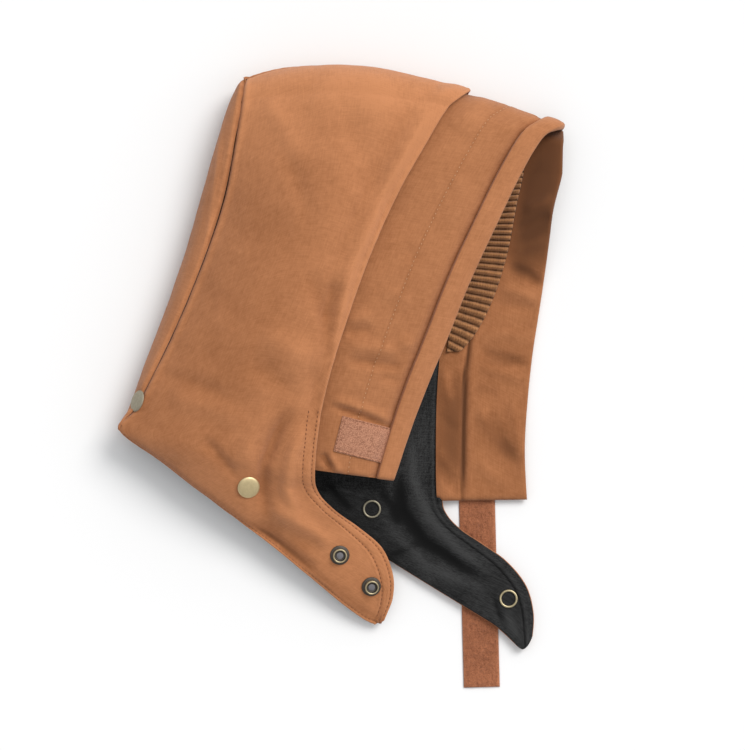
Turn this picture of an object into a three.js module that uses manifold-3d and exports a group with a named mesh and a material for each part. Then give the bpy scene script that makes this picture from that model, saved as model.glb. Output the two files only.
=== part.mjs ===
// Detachable work hood of cotton duck, lying on its left side with the face opening to +X.
// The right half lies on top of the left half, and both turn into each other round the back and the crown.
// Millimetres, +Z up from the table, +Y towards the crown, origin under the middle of the hood.
import * as THREE from 'three';
import { mergeVertices } from 'three/addons/utils/BufferGeometryUtils.js';
import Module from 'manifold-3d';

const wasm = await Module();
wasm.setup();

// Overall sizes of the lying hood
const HOOD_WIDTH = 312;
const HOOD_HEIGHT = 407;
const LOFT = 58;

// Cloth thicknesses and the small air gap between layers
const SHELL = 1.6;
const LINING = 1.8;
const BAND = 3;
const KNIT = 3.2;
const GAP = 0.3;

// Seams, turnings and knit
const LAP = 4;
const LINING_INSET = 1.2;
const RIB_PITCH = 6;
const RIB_DEPTH = 0.9;

// Tape: the chin strap and the patch that it closes on
const TAPE_WIDTH = 25.4;
const STRAP_LENGTH = 161;
const STRAP_THICKNESS = 1.9;
const PATCH_LENGTH = 36;
const PATCH_THICKNESS = 1.2;

// Snap fasteners
const CAP_RADIUS = 7.6;
const CAP_HEIGHT = 2;
const SOCKET_RADIUS = 6.5;
const SOCKET_BORE = 4.7;
const SOCKET_HEIGHT = 2.4;
const STUD_BASE_RADIUS = 6.7;
const STUD_BASE_HEIGHT = 1.1;
const STUD_RADIUS = 4.9;
const STUD_HEIGHT = 4;
const STUD_BORE = 2.6;
const BACKING_RADIUS = 5.2;
const BACKING_HEIGHT = 1.2;
const POST_RADIUS = 2.2;

// How finely the cloth is faceted
const COLUMNS = 7;
const BODY_STEPS = 2;
const FOLD_STEPS = 4;
const RIM_STEPS = 6;
const UNDER_STEPS = 2;
const SNAP_SIDES = 12;

const CLOTH_STACK = SHELL + GAP + LINING;
const LAP_COLUMN = LAP + 2 * GAP + 0.7;
const SEAT = 0.05;
const RECESS = GAP - SEAT;
const CAP_CLEARANCE = CAP_HEIGHT + SEAT;

// A table has named columns and a row for each section.
function table(columns, rows) {
  const names = columns.split(' ');
  return rows.map((row) => Object.fromEntries(names.map((name, i) => [name, row[i]])));
}

// Sections of the upper half from the crown (row 0) past the nape (row 8) to the throat flap's tip (row 15).
// x is a share of the hood's width from the nape, y of its height from the flap tips, z of its loft.
// bow lifts the middle of a row towards the crown, as a share of the height.
const UPPER = table('backX backY frontX frontY bow backZ midZ frontZ', [
  [0.280, 0.976, 0.787, 0.957, 0.031, 0.30, 0.32, 0.28],
  [0.274, 0.933, 0.738, 0.926, 0.017, 0.62, 0.74, 0.60],
  [0.258, 0.857, 0.679, 0.851, 0.007, 0.64, 0.90, 0.74],
  [0.233, 0.763, 0.619, 0.768, 0.000, 0.64, 1.00, 0.80],
  [0.191, 0.665, 0.561, 0.667, 0.000, 0.64, 1.00, 0.82],
  [0.139, 0.567, 0.513, 0.565, 0.000, 0.62, 0.98, 0.80],
  [0.085, 0.479, 0.475, 0.473, 0.000, 0.58, 0.92, 0.76],
  [0.036, 0.409, 0.451, 0.393, 0.000, 0.54, 0.84, 0.68],
  [0.000, 0.371, 0.439, 0.302, 0.000, 0.50, 0.76, 0.58],
  [0.105, 0.311, 0.446, 0.266, 0.000, 0.50, 0.66, 0.46],
  [0.217, 0.247, 0.484, 0.234, 0.000, 0.48, 0.56, 0.38],
  [0.336, 0.179, 0.538, 0.204, 0.000, 0.42, 0.46, 0.32],
  [0.430, 0.120, 0.590, 0.168, 0.000, 0.34, 0.36, 0.27],
  [0.502, 0.074, 0.614, 0.119, 0.000, 0.25, 0.27, 0.22],
  [0.547, 0.050, 0.612, 0.074, 0.000, 0.18, 0.19, 0.17],
  [0.577, 0.040, 0.602, 0.050, 0.000, 0.14, 0.14, 0.14],
]);

// Rows 0 to 8 again: the front edge of the face band, and the outermost line of the back.
const UPPER_EDGE = table('edgeX edgeY edgeZ rimX rimY rimZ', [
  [0.993, 0.899, 0.24, 0.268, 0.973, 0.30],
  [0.953, 0.881, 0.46, 0.244, 0.933, 0.29],
  [0.897, 0.809, 0.52, 0.213, 0.857, 0.28],
  [0.843, 0.723, 0.54, 0.177, 0.763, 0.28],
  [0.783, 0.624, 0.52, 0.141, 0.665, 0.27],
  [0.735, 0.531, 0.48, 0.096, 0.567, 0.26],
  [0.688, 0.445, 0.43, 0.052, 0.479, 0.25],
  [0.655, 0.378, 0.38, 0.020, 0.411, 0.24],
  [0.614, 0.285, 0.32, -0.002, 0.373, 0.23],
]);

// Sections of the lower half, row by row under the same numbers. Row 0 is the crown seam.
const LOWER = table('backX backY frontX frontY', [
  [0.390, 0.828, 0.780, 0.816],
  [0.379, 0.782, 0.769, 0.759],
  [0.370, 0.725, 0.760, 0.699],
  [0.363, 0.662, 0.749, 0.636],
  [0.357, 0.588, 0.740, 0.570],
  [0.350, 0.510, 0.731, 0.502],
  [0.343, 0.433, 0.724, 0.424],
  [0.334, 0.356, 0.722, 0.338],
  [0.323, 0.287, 0.724, 0.254],
  [0.408, 0.247, 0.735, 0.225],
  [0.509, 0.194, 0.767, 0.199],
  [0.614, 0.141, 0.816, 0.174],
  [0.704, 0.098, 0.870, 0.144],
  [0.785, 0.060, 0.913, 0.103],
  [0.850, 0.029, 0.930, 0.057],
  [0.896, 0.001, 0.926, 0.018],
]);

const LOWER_EDGE = table('edgeX edgeY', [
  [0.987, 0.816],
  [0.975, 0.763],
  [0.966, 0.703],
  [0.955, 0.639],
  [0.942, 0.572],
  [0.928, 0.503],
  [0.917, 0.424],
  [0.910, 0.338],
  [0.915, 0.256],
]);

// Soft folds of the upper half: centre, direction in degrees, half length and half width as shares of the
// hood's height, and depth as a share of the loft, negative for a hollow.
const FOLDS = table('x y turn length width depth', [
  [0.575, 0.790, 113, 0.150, 0.030, -0.045],
  [0.335, 0.290, 84, 0.090, 0.030, -0.060],
  [0.405, 0.345, 75, 0.080, 0.030, 0.030],
  [0.440, 0.205, 112, 0.060, 0.030, -0.045],
]);

// Places of the fasteners and tape, as shares of the hood's width and height
const NECK_SNAP_RIGHT = [0.291, 0.275];
const NECK_SNAP_BACK_RIGHT = [0.037, 0.423];
const NECK_SNAP_BACK_LEFT = [0.296, 0.361];
const NECK_SNAP_LEFT = [0.565, 0.235];
const THROAT_SOCKET = [0.876, 0.082];
const THROAT_STUD_INNER = [0.493, 0.158];
const THROAT_STUD_OUTER = [0.563, 0.103];
const PATCH_CENTRE = [0.545, 0.356];
const PATCH_TURN = -14.6;
const STRAP_TOP = [0.800, 0.321];
const STRAP_TURN = -88.5;

const NAPE_ROW = 8;
const SHOULDER_ROW = 1;
const LIFT_FROM_ROW = 5.8;
const LIFT_TO_ROW = 7;
const CROWN_SEAM_TURNS = [25, 8, -10, -25];
const UNDER_SHARE = 0.15;
const HEM_SAG = 0.024;
const BAND_SHARES = [0, 0.26, 0.52, 0.79, 0.895, 1];
const CREASE_COLUMN = 4;
const BAND_CROWN = 0.05;
const BAND_SETTLE = 4;
const CUFF_END_ROW = 5.05;
const CUFF_STOP_SHARE = 0.97;
const CUFF_WIDTH_SHARE = 0.61;
const CUFF_ROUND = 2.5;

const rad = THREE.MathUtils.degToRad;
const mix = THREE.MathUtils.lerp;

// Place on the table of a point given in shares, at a height in millimetres
function place(x, y, z = 0) {
  return new THREE.Vector3((x - 0.5) * HOOD_WIDTH, (y - 0.5) * HOOD_HEIGHT, z);
}

// Smooth value of one column at a row between the table's own rows
function along(rows, row, column) {
  const i = Math.min(Math.floor(row), rows.length - 2);
  const f = row - i;
  const at = (k) => rows[THREE.MathUtils.clamp(k, 0, rows.length - 1)][column];
  const [a, b, c, d] = [at(i - 1), at(i), at(i + 1), at(i + 2)];
  const bend = 2 * a - 5 * b + 4 * c - d;
  return 0.5 * (2 * b + (c - a) * f + bend * f * f + (3 * (b - c) + d - a) * f * f * f);
}

// Height that the soft folds add at a place in shares
function foldHeight(x, y) {
  return FOLDS.reduce((sum, fold) => {
    const away = place(x, y).sub(place(fold.x, fold.y));
    const [c, s] = [Math.cos(rad(fold.turn)), Math.sin(rad(fold.turn))];
    const lengthways = (away.x * c + away.y * s) / (fold.length * HOOD_HEIGHT);
    const crossways = (away.y * c - away.x * s) / (fold.width * HOOD_HEIGHT);
    return sum + fold.depth * LOFT * Math.exp(-lengthways * lengthways - crossways * crossways);
  }, 0);
}

// Point of the upper half at a row of the table, w from the back seam (0) to the front (1)
function upperPoint(row, w) {
  const get = (column) => along(UPPER, row, column);
  const x = mix(get('backX'), get('frontX'), w);
  const y = mix(get('backY'), get('frontY'), w) + get('bow') * 4 * w * (1 - w) * (1.3 - 0.6 * w);
  const z = get('backZ') * (1 - w) * (1 - 2 * w) + get('midZ') * 4 * w * (1 - w) + get('frontZ') * w * (2 * w - 1);
  return place(x, y, z * LOFT + foldHeight(x, y));
}

// The throat and neck edge of the lower half ride on the caps of its snaps.
function lowerLift(row) {
  return CAP_CLEARANCE * THREE.MathUtils.smoothstep(row, LIFT_FROM_ROW, LIFT_TO_ROW);
}

function lowerPoint(row, w) {
  const get = (column) => along(LOWER, row, column);
  const x = mix(get('backX'), get('frontX'), w);
  const y = mix(get('backY'), get('frontY'), w);
  return place(x, y, lowerLift(row));
}

// Turns a point from the outermost line (0 degrees) up to the shoulder (90 degrees).
function rolled(rim, shoulder, degrees) {
  const p = rim.clone().lerp(shoulder, 1 - Math.cos(rad(degrees)));
  p.z = mix(rim.z, shoulder.z, Math.sin(rad(degrees)));
  return p;
}

// Rows of both halves: first the ones that roll over the crown, then the body's, then the flap's.
const rowList = [];
for (let k = 0; k < FOLD_STEPS; k++) rowList.push({ row: k / FOLD_STEPS, fold: k / FOLD_STEPS });
for (let row = SHOULDER_ROW; row < NAPE_ROW; row += 1 / BODY_STEPS) rowList.push({ row });
for (let row = NAPE_ROW; row < UPPER.length; row++) rowList.push({ row });
const NAPE = rowList.findIndex(({ row }) => row === NAPE_ROW);

// How far a column has turned over the crown, in degrees. The seam sits higher towards the back.
function rollOf({ fold }, j) {
  return mix(CROWN_SEAM_TURNS[Math.min(j, CROWN_SEAM_TURNS.length - 1)], 90, fold);
}

// Shares across a row: equal columns, then one just wider than the seam allowance
function columnShares(row, point) {
  const last = 1 - LAP_COLUMN / point(row, 0).distanceTo(point(row, 1));
  return Array.from({ length: COLUMNS + 1 }, (_, j) => (j < COLUMNS ? (last * j) / (COLUMNS - 1) : 1));
}

function upperRow(stop) {
  const shares = columnShares(stop.row, upperPoint);
  if (stop.fold === undefined) return shares.map((w) => upperPoint(stop.row, w));
  return shares.map((w, j) => rolled(upperPoint(0, w), upperPoint(SHOULDER_ROW, w), rollOf(stop, j)));
}

const upper = rowList.map(upperRow);
const lower = rowList.map(({ row }) => columnShares(row, lowerPoint).map((w) => lowerPoint(row, w)));

// Outermost line of the back beside a row
function rimPoint(stop) {
  const at = stop.fold === undefined ? stop.row : 1 - Math.cos(rad(rollOf(stop, 0)));
  const get = (column) => along(UPPER_EDGE, at, column);
  return place(get('rimX'), get('rimY'), get('rimZ') * LOFT);
}

// Outermost line of the crown beside a column of the first row
function crownPoint(j) {
  const w = columnShares(0, upperPoint)[j];
  return rolled(upperPoint(0, w), upperPoint(SHOULDER_ROW, w), Math.min(rollOf(rowList[0], j), 0));
}

// Points at equal steps along a polyline
function spaced(points, steps) {
  const path = new THREE.CurvePath();
  for (let i = 1; i < points.length; i++) path.add(new THREE.LineCurve3(points[i - 1], points[i]));
  return path.getSpacedPoints(steps);
}

// Section of the centre panel: from the upper seam over the outermost line, under it and along the table
function centreSection(upperSeam, rim, lowerSeam) {
  const under = rim.clone().lerp(lowerSeam, UNDER_SHARE);
  under.z = lowerSeam.z;
  const turns = [90, 72, 54, 36, 18, 0];
  const over = turns.map((degrees) => rolled(rim, upperSeam, degrees));
  const below = turns.slice(0, -1).reverse().map((degrees) => rolled(rim, under, degrees));
  const round = spaced(over[0].distanceTo(rim) > GAP ? [...over, ...below] : [rim, ...below], RIM_STEPS);
  const flat = spaced([under, lowerSeam], UNDER_STEPS);
  return [...round, ...flat.slice(1)];
}

// Stations of the centre panel: up the back from the nape, then along the crown to the face band
const centre = [];
for (let i = NAPE; i >= 0; i--) {
  centre.push(centreSection(upper[i][0], rimPoint(rowList[i]), lower[i][0]));
}
for (let j = 1; j <= COLUMNS; j++) centre.push(centreSection(upper[0][j], crownPoint(j), lower[0][j]));

// The hem of the centre panel sags below the neck where it turns under.
centre[0].forEach((p, c) => {
  p.y -= HEM_SAG * HOOD_HEIGHT * Math.exp(-(((c - RIM_STEPS) / 1.6) ** 2)) * (c && c < RIM_STEPS + UNDER_STEPS ? 1 : 0);
});

// Outward normals of grids that share their borders, averaged where they meet
function outwardNormals(grids) {
  const sums = new Map();
  const key = (p) => [p.x, p.y, p.z].map((v) => Math.round(v * 1e3)).join();
  const add = (p, n) => sums.set(key(p), (sums.get(key(p)) ?? new THREE.Vector3()).add(n));
  for (const { points, flipped } of grids) {
    for (let i = 1; i < points.length; i++) {
      for (let j = 1; j < points[i].length; j++) {
        const corners = [points[i - 1][j - 1], points[i][j - 1], points[i][j], points[i - 1][j]];
        const one = corners[2].clone().sub(corners[0]);
        const other = corners[3].clone().sub(corners[1]);
        const n = one.cross(other).multiplyScalar(flipped ? -1 : 1);
        corners.forEach((p) => add(p, n));
      }
    }
  }
  return grids.map(({ points }) => points.map((row) => row.map((p) => sums.get(key(p)).clone().normalize())));
}

const [upperNormals, centreNormals, lowerNormals] = outwardNormals([
  { points: upper },
  { points: centre },
  { points: lower, flipped: true },
]);

// A solid from a closed geometry, turned right side out
function solid(geometry) {
  const bare = new THREE.BufferGeometry().setAttribute('position', geometry.getAttribute('position').clone());
  if (geometry.index) bare.setIndex(geometry.index.clone());
  const merged = mergeVertices(bare, 1e-4);
  const build = () => new wasm.Manifold(new wasm.Mesh({
    numProp: 3,
    vertProperties: new Float32Array(merged.attributes.position.array),
    triVerts: new Uint32Array(merged.index.array),
  }));
  const made = build();
  if (made.volume() > 0) return made;
  for (let t = 0; t < merged.index.count; t += 3) {
    const [a, b] = [merged.index.getX(t), merged.index.getX(t + 1)];
    merged.index.setX(t, b);
    merged.index.setX(t + 1, a);
  }
  return build();
}

function geometryOf(made) {
  const { vertProperties, triVerts } = made.getMesh();
  const geometry = new THREE.BufferGeometry();
  geometry.setAttribute('position', new THREE.BufferAttribute(new Float32Array(vertProperties), 3));
  geometry.setIndex(new THREE.BufferAttribute(new Uint32Array(triVerts), 1));
  return geometry;
}

// A copy of a grid with its borders pulled back. Each trim is a length, or a function of the place on its border.
function trimmed(points, trims) {
  const out = points.map((row) => row.map((p) => p.clone()));
  const [rows, columns] = [points.length - 1, points[0].length - 1];
  const pull = (i, j, ni, nj, trim, n) => {
    const length = typeof trim === 'function' ? trim(n) : trim ?? 0;
    const step = points[ni][nj].clone().sub(points[i][j]);
    out[i][j].addScaledVector(step.clone().normalize(), Math.min(length, step.length() * 0.9));
  };
  for (let j = 0; j <= columns; j++) {
    pull(0, j, 1, j, trims.first, j);
    pull(rows, j, rows - 1, j, trims.last, j);
  }
  for (let i = 0; i <= rows; i++) {
    pull(i, 0, i, 1, trims.left, i);
    pull(i, columns, i, columns - 1, trims.right, i);
  }
  return out;
}

// A cloth wall between two depths under a grid of points. Depths can be functions of the place in the grid.
// Rows up to crossedRows are split along their other diagonal, to match a cloth that runs the other way.
function wall(points, normals, outside, inside, trims = {}, crossedRows = 0) {
  const kept = trimmed(points, trims);
  const [rows, columns] = [kept.length, kept[0].length];
  const depthAt = (depth, i, j) => (typeof depth === 'function' ? depth(i, j) : depth);
  const vertices = [outside, inside].flatMap((depth) => kept.flatMap((row, i) => row.flatMap((p, j) =>
    p.clone().addScaledVector(normals[i][j], -depthAt(depth, i, j)).toArray())));
  const outer = (i, j) => i * columns + j;
  const inner = (i, j) => rows * columns + outer(i, j);
  const index = [];
  const quad = (a, b, c, d) => index.push(a, b, c, a, c, d);
  for (let i = 1; i < rows; i++) {
    for (let j = 1; j < columns; j++) {
      const faces = [
        [outer(i - 1, j - 1), outer(i, j - 1), outer(i, j), outer(i - 1, j)],
        [inner(i - 1, j - 1), inner(i - 1, j), inner(i, j), inner(i, j - 1)],
      ];
      faces.forEach(([a, b, c, d]) => (i <= crossedRows ? quad(b, c, d, a) : quad(a, b, c, d)));
    }
    quad(outer(i - 1, 0), inner(i - 1, 0), inner(i, 0), outer(i, 0));
    quad(outer(i, columns - 1), inner(i, columns - 1), inner(i - 1, columns - 1), outer(i - 1, columns - 1));
  }
  for (let j = 1; j < columns; j++) {
    quad(outer(0, j), inner(0, j), inner(0, j - 1), outer(0, j - 1));
    quad(outer(rows - 1, j - 1), inner(rows - 1, j - 1), inner(rows - 1, j), outer(rows - 1, j));
  }
  const geometry = new THREE.BufferGeometry();
  geometry.setAttribute('position', new THREE.Float32BufferAttribute(vertices, 3));
  geometry.setIndex(index);
  return solid(geometry);
}

// Point and normal of a grid under a place on the table
function seatOn(points, normals, [x, y]) {
  const at = place(x, y);
  const flat = (p) => new THREE.Vector3(p.x, p.y, 0);
  for (let i = 1; i < points.length; i++) {
    for (let j = 1; j < points[i].length; j++) {
      const halves = [[[i - 1, j - 1], [i, j - 1], [i, j]], [[i - 1, j - 1], [i, j], [i - 1, j]]];
      for (const half of halves) {
        const [a, b, c] = half.map(([r, s]) => points[r][s]);
        const weights = THREE.Triangle.getBarycoord(at, flat(a), flat(b), flat(c), new THREE.Vector3());
        if (!weights || Math.min(weights.x, weights.y, weights.z) < -1e-6) continue;
        const blend = (grid) => half.reduce((sum, [r, s], n) =>
          sum.addScaledVector(grid[r][s], weights.getComponent(n)), new THREE.Vector3());
        return { point: blend(points), normal: blend(normals).normalize() };
      }
    }
  }
  throw new Error(`nothing lies under ${x}, ${y}`);
}

// The face band runs up the right front, over the brow and down the left front.
function bandPath() {
  const right = [];
  for (let i = NAPE; i >= 0; i--) {
    const { row, fold } = rowList[i];
    const edgeAt = (r) => place(...['edgeX', 'edgeY'].map((c) => along(UPPER_EDGE, r, c)),
      along(UPPER_EDGE, r, 'edgeZ') * LOFT);
    const crown = fold === undefined;
    const edge = crown ? edgeAt(row) : rolled(edgeAt(0), edgeAt(SHOULDER_ROW), rollOf(rowList[i], COLUMNS));
    const inward = upper[i][COLUMNS - 1].clone().sub(upper[i][COLUMNS]).normalize();
    right.push({ row, seam: upper[i][COLUMNS], normal: upperNormals[i][COLUMNS], inward, edge, crown });
  }
  const lowerEdge = ({ row }) => place(...['edgeX', 'edgeY'].map((c) => along(LOWER_EDGE, row, c)), lowerLift(row));
  const left = [];
  for (let i = 1; i <= NAPE; i++) {
    const inward = lower[i][COLUMNS - 1].clone().sub(lower[i][COLUMNS]).normalize();
    const { row } = rowList[i];
    left.push({ row, seam: lower[i][COLUMNS], normal: lowerNormals[i][COLUMNS], inward, edge: lowerEdge(rowList[i]), flat: 1 });
  }
  const brow = right.at(-1).edge;
  const edges = centreSection(brow, brow, lowerEdge(rowList[0]));
  const last = centre.length - 1;
  const over = centre[last].slice(1).map((seam, c) => ({
    row: 0,
    seam,
    normal: centreNormals[last][c + 1],
    inward: centre[last - 1][c + 1].clone().sub(seam).normalize(),
    edge: edges[c + 1],
    flat: Math.min(1, (c + 1) / RIM_STEPS) ** 2,
  }));
  return [...right, ...over, ...left];
}

// Section of the face band: tucked under the seam, level with it, then across to the front edge
function bandSection({ seam, normal, inward, edge, crown, flat = 0 }) {
  const level = seam.clone().addScaledVector(normal, -(SHELL + GAP));
  const tucked = level.clone().addScaledVector(inward, LAP);
  const across = BAND_SHARES.map((share) => {
    const p = level.clone().lerp(edge, share);
    if (crown) p.z += BAND_CROWN * LOFT * 4 * share * (1 - share);
    p.z = mix(p.z, mix(level.z, edge.z, 1 - (1 - share) ** BAND_SETTLE), flat);
    return p;
  });
  return [tucked, ...across];
}

const path = bandPath();
const band = path.map(bandSection);
const [bandNormals] = outwardNormals([{ points: band, flipped: true }]);
const frontBand = (grid) => grid.map((row) => row.slice(0, CREASE_COLUMN + 1));
const edgeFacing = (grid) => grid.map((row) => row.slice(CREASE_COLUMN));

// Knit cuff: lies inside the face band from its back seam towards the face, and narrows to nothing at both ends
function cuffSections() {
  const brow = path.findIndex(({ row }) => row === 0);
  const browEnd = path.findLastIndex(({ row }) => row === 0);
  const stops = path.map(({ row }, i) => ({ i, row: i < brow ? -row : row }));
  const indexAt = (row) => {
    const after = stops.findIndex((stop) => stop.row > row);
    const before = stops[after - 1];
    return before.i + (row - before.row) / (stops[after].row - before.row);
  };
  const [start, end] = [-1, 1].map((side) => indexAt(side * CUFF_END_ROW * CUFF_STOP_SHARE));
  const middle = BAND_SHARES.indexOf(0.26) + 1;
  const legs = path.map((_, i) => (i ? band[i][middle].distanceTo(band[i - 1][middle]) : 0));
  const upTo = (index) => {
    const whole = Math.floor(index);
    const before = legs.slice(0, whole + 1).reduce((a, b) => a + b, 0);
    return before + (index - whole) * (legs[whole + 1] ?? 0);
  };
  const ribs = Math.round((upTo(end) - upTo(start)) / RIB_PITCH);
  const sections = [];
  for (let n = 0; n <= 2 * ribs; n++) {
    const wanted = mix(upTo(start), upTo(end), n / (2 * ribs));
    let i = Math.floor(start);
    while (i < path.length - 2 && upTo(i + 1) < wanted) i++;
    const f = THREE.MathUtils.clamp((wanted - upTo(i)) / legs[i + 1], 0, 1);
    const rowNear = Math.abs(mix(path[i].row, path[i + 1].row, f)) * (i < brow || i >= browEnd ? 1 : 0);
    const reach = CUFF_WIDTH_SHARE * Math.sqrt(1 - Math.min(1, rowNear / CUFF_END_ROW) ** CUFF_ROUND);
    sections.push([0.02, 0.5, 1].map((share) => ({ i, f, share: share * reach, crest: n % 2 })));
  }
  return sections;
}

// Point and normal of the band between its grid lines
function onBand({ i, f, share }) {
  const j = Math.max(0, BAND_SHARES.findLastIndex((s) => s <= share && s < 1));
  const g = (share - BAND_SHARES[j]) / (BAND_SHARES[j + 1] - BAND_SHARES[j]);
  const blend = (grid) => {
    const one = grid[i][j + 1].clone().lerp(grid[i][j + 2], g);
    return one.lerp(grid[i + 1][j + 1].clone().lerp(grid[i + 1][j + 2], g), f);
  };
  return { point: blend(band), normal: blend(bandNormals).normalize() };
}

const cuff = cuffSections();
const cuffPoints = cuff.map((section) => section.map((at) => onBand(at).point));
const cuffNormals = cuff.map((section) => section.map((at) => onBand(at).normal));
const cuffOuter = (i, j) => BAND + 2 * GAP + (cuff[i][j].crest ? 0 : RIB_DEPTH);
const cuffInner = (i, j) => BAND + 2 * GAP + KNIT - (cuff[i][j].crest ? 0 : RIB_DEPTH);

// A turned body about the axis of a snap. Heights are above the shell's outer face.
function turned(profile, seat) {
  const geometry = new THREE.LatheGeometry(profile.map(([r, h]) => new THREE.Vector2(r, h)), SNAP_SIDES);
  const turn = new THREE.Quaternion().setFromUnitVectors(new THREE.Vector3(0, 1, 0), seat.normal);
  geometry.applyQuaternion(turn).translate(...seat.point.toArray());
  return solid(geometry);
}

const innerFace = -CLOTH_STACK - SEAT;

// Profiles from the outside inwards: domed cap with a socket ring, or a raised stud with a backing disc
const capProfile = [
  [0, SEAT + CAP_HEIGHT], [CAP_RADIUS * 0.62, SEAT + CAP_HEIGHT * 0.92],
  [CAP_RADIUS * 0.94, SEAT + CAP_HEIGHT * 0.55], [CAP_RADIUS, SEAT + CAP_HEIGHT * 0.2], [CAP_RADIUS, SEAT],
];
const socketProfile = [
  [SOCKET_RADIUS, innerFace], [SOCKET_RADIUS, innerFace - SOCKET_HEIGHT],
  [SOCKET_BORE, innerFace - SOCKET_HEIGHT], [SOCKET_BORE, innerFace - SOCKET_HEIGHT * 0.3],
  [0, innerFace - SOCKET_HEIGHT * 0.3],
];
const studProfile = [
  [0, SEAT + STUD_HEIGHT * 0.7], [STUD_BORE, SEAT + STUD_HEIGHT * 0.7], [STUD_BORE, SEAT + STUD_HEIGHT],
  [STUD_RADIUS * 0.9, SEAT + STUD_HEIGHT], [STUD_RADIUS, SEAT + STUD_HEIGHT * 0.8],
  [STUD_RADIUS * 0.88, SEAT + STUD_BASE_HEIGHT], [STUD_BASE_RADIUS, SEAT + STUD_BASE_HEIGHT],
  [STUD_BASE_RADIUS, SEAT],
];
const backingProfile = [
  [BACKING_RADIUS, innerFace], [BACKING_RADIUS, innerFace - BACKING_HEIGHT], [0, innerFace - BACKING_HEIGHT],
];

function snap(outsideProfile, insideProfile, seat) {
  return turned([...outsideProfile, [POST_RADIUS, SEAT], [POST_RADIUS, innerFace], ...insideProfile], seat);
}

// Room for a snap: a hole for its post and a shallow seat on both faces of the cloth
function snapRoom(outsideRadius, insideRadius, seat) {
  const [o, i, p] = [outsideRadius + GAP, insideRadius + GAP, POST_RADIUS + GAP];
  const profile = [
    [0, CLOTH_STACK], [o, CLOTH_STACK], [o, -RECESS], [p, -RECESS],
    [p, RECESS - CLOTH_STACK], [i, RECESS - CLOTH_STACK], [i, -2 * CLOTH_STACK], [0, -2 * CLOTH_STACK],
  ];
  return turned(profile, seat);
}

const capSnap = (seat) => ({
  metal: snap(capProfile, socketProfile, seat),
  room: snapRoom(CAP_RADIUS, SOCKET_RADIUS, seat),
});
const studSnap = (seat) => ({
  metal: snap(studProfile, backingProfile, seat),
  room: snapRoom(STUD_BASE_RADIUS, BACKING_RADIUS, seat),
});

const onUpper = (at) => seatOn(upper, upperNormals, at);
const onCentre = (at) => seatOn(centre, centreNormals, at);
const onLower = (at) => seatOn(lower, lowerNormals, at);
const snaps = {
  neck_snap_right: capSnap(onUpper(NECK_SNAP_RIGHT)),
  throat_stud_inner: studSnap(onUpper(THROAT_STUD_INNER)),
  throat_stud_outer: studSnap(onUpper(THROAT_STUD_OUTER)),
  neck_snap_back_right: capSnap(onCentre(NECK_SNAP_BACK_RIGHT)),
  neck_snap_back_left: capSnap(onCentre(NECK_SNAP_BACK_LEFT)),
  neck_snap_left: capSnap(onLower(NECK_SNAP_LEFT)),
  throat_socket: capSnap(onLower(THROAT_SOCKET)),
};

// Cloth with room cut for the snaps that pass through it
function pierced(made, names) {
  return names.reduce((cloth, name) => cloth.subtract(snaps[name].room), made);
}

const RIGHT_SNAPS = ['neck_snap_right', 'throat_stud_inner', 'throat_stud_outer', 'neck_snap_back_right'];
const CENTRE_SNAPS = ['neck_snap_back_right', 'neck_snap_back_left'];
const LEFT_SNAPS = ['neck_snap_left', 'throat_socket'];

// The side panels meet the centre panel at their back and crown, and are free along the neck and the flap.
const alongBack = (i) => (i <= NAPE ? GAP / 2 : 0);
const alongBackLined = (i) => (i <= NAPE ? GAP / 2 : LINING_INSET);
const alongFrontLined = (i) => (i <= NAPE ? LAP + GAP : LINING_INSET);
const panelTrims = { first: GAP / 2, left: alongBack };
const liningTrims = { first: GAP / 2, left: alongBackLined, right: alongFrontLined, last: LINING_INSET };
const centreTrims = { left: GAP / 2, right: GAP / 2 };
const centreLiningTrims = { ...centreTrims, first: LINING_INSET, last: LAP + GAP };
const liningTop = SHELL + GAP;
const liningBottom = liningTop + LINING;

// A flat strip of tape laid over a surface from a list of places and normals
function tape(rows, normals, thickness) {
  return wall(rows, normals, -GAP - thickness, -GAP);
}

function patchGrid() {
  const steps = [-0.5, -0.25, 0, 0.25, 0.5];
  const [c, s] = [Math.cos(rad(PATCH_TURN)), Math.sin(rad(PATCH_TURN))];
  const seats = steps.map((v) => steps.map((u) => {
    const [a, b] = [u * PATCH_LENGTH, -v * TAPE_WIDTH];
    const x = PATCH_CENTRE[0] + (a * c - b * s) / HOOD_WIDTH;
    const y = PATCH_CENTRE[1] + (a * s + b * c) / HOOD_HEIGHT;
    return seatOn(band, bandNormals, [x, y]);
  }));
  return { points: seats.map((row) => row.map((p) => p.point)), normals: seats.map((row) => row.map((p) => p.normal)) };
}

function strapSolid() {
  const shape = new THREE.BoxGeometry(STRAP_LENGTH, TAPE_WIDTH, STRAP_THICKNESS, 6, 1, 1);
  shape.translate(STRAP_LENGTH / 2, 0, STRAP_THICKNESS / 2).rotateZ(rad(STRAP_TURN));
  shape.translate(...place(...STRAP_TOP).toArray());
  return solid(shape);
}

const patch = patchGrid();

const materials = {
  duck: new THREE.MeshStandardMaterial({ color: 0xb4703f, roughness: 0.9, metalness: 0 }),
  lining: new THREE.MeshStandardMaterial({ color: 0x1c1c1e, roughness: 0.95, metalness: 0 }),
  knit: new THREE.MeshStandardMaterial({ color: 0x8f6238, roughness: 0.95, metalness: 0 }),
  tape: new THREE.MeshStandardMaterial({ color: 0xb8734e, roughness: 1, metalness: 0 }),
  brass: new THREE.MeshStandardMaterial({ color: 0xb8a066, roughness: 0.4, metalness: 1 }),
};

const hood = new THREE.Group();

function add(name, made, material) {
  const mesh = new THREE.Mesh(geometryOf(made), materials[material]);
  mesh.name = name;
  hood.add(mesh);
}

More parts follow.
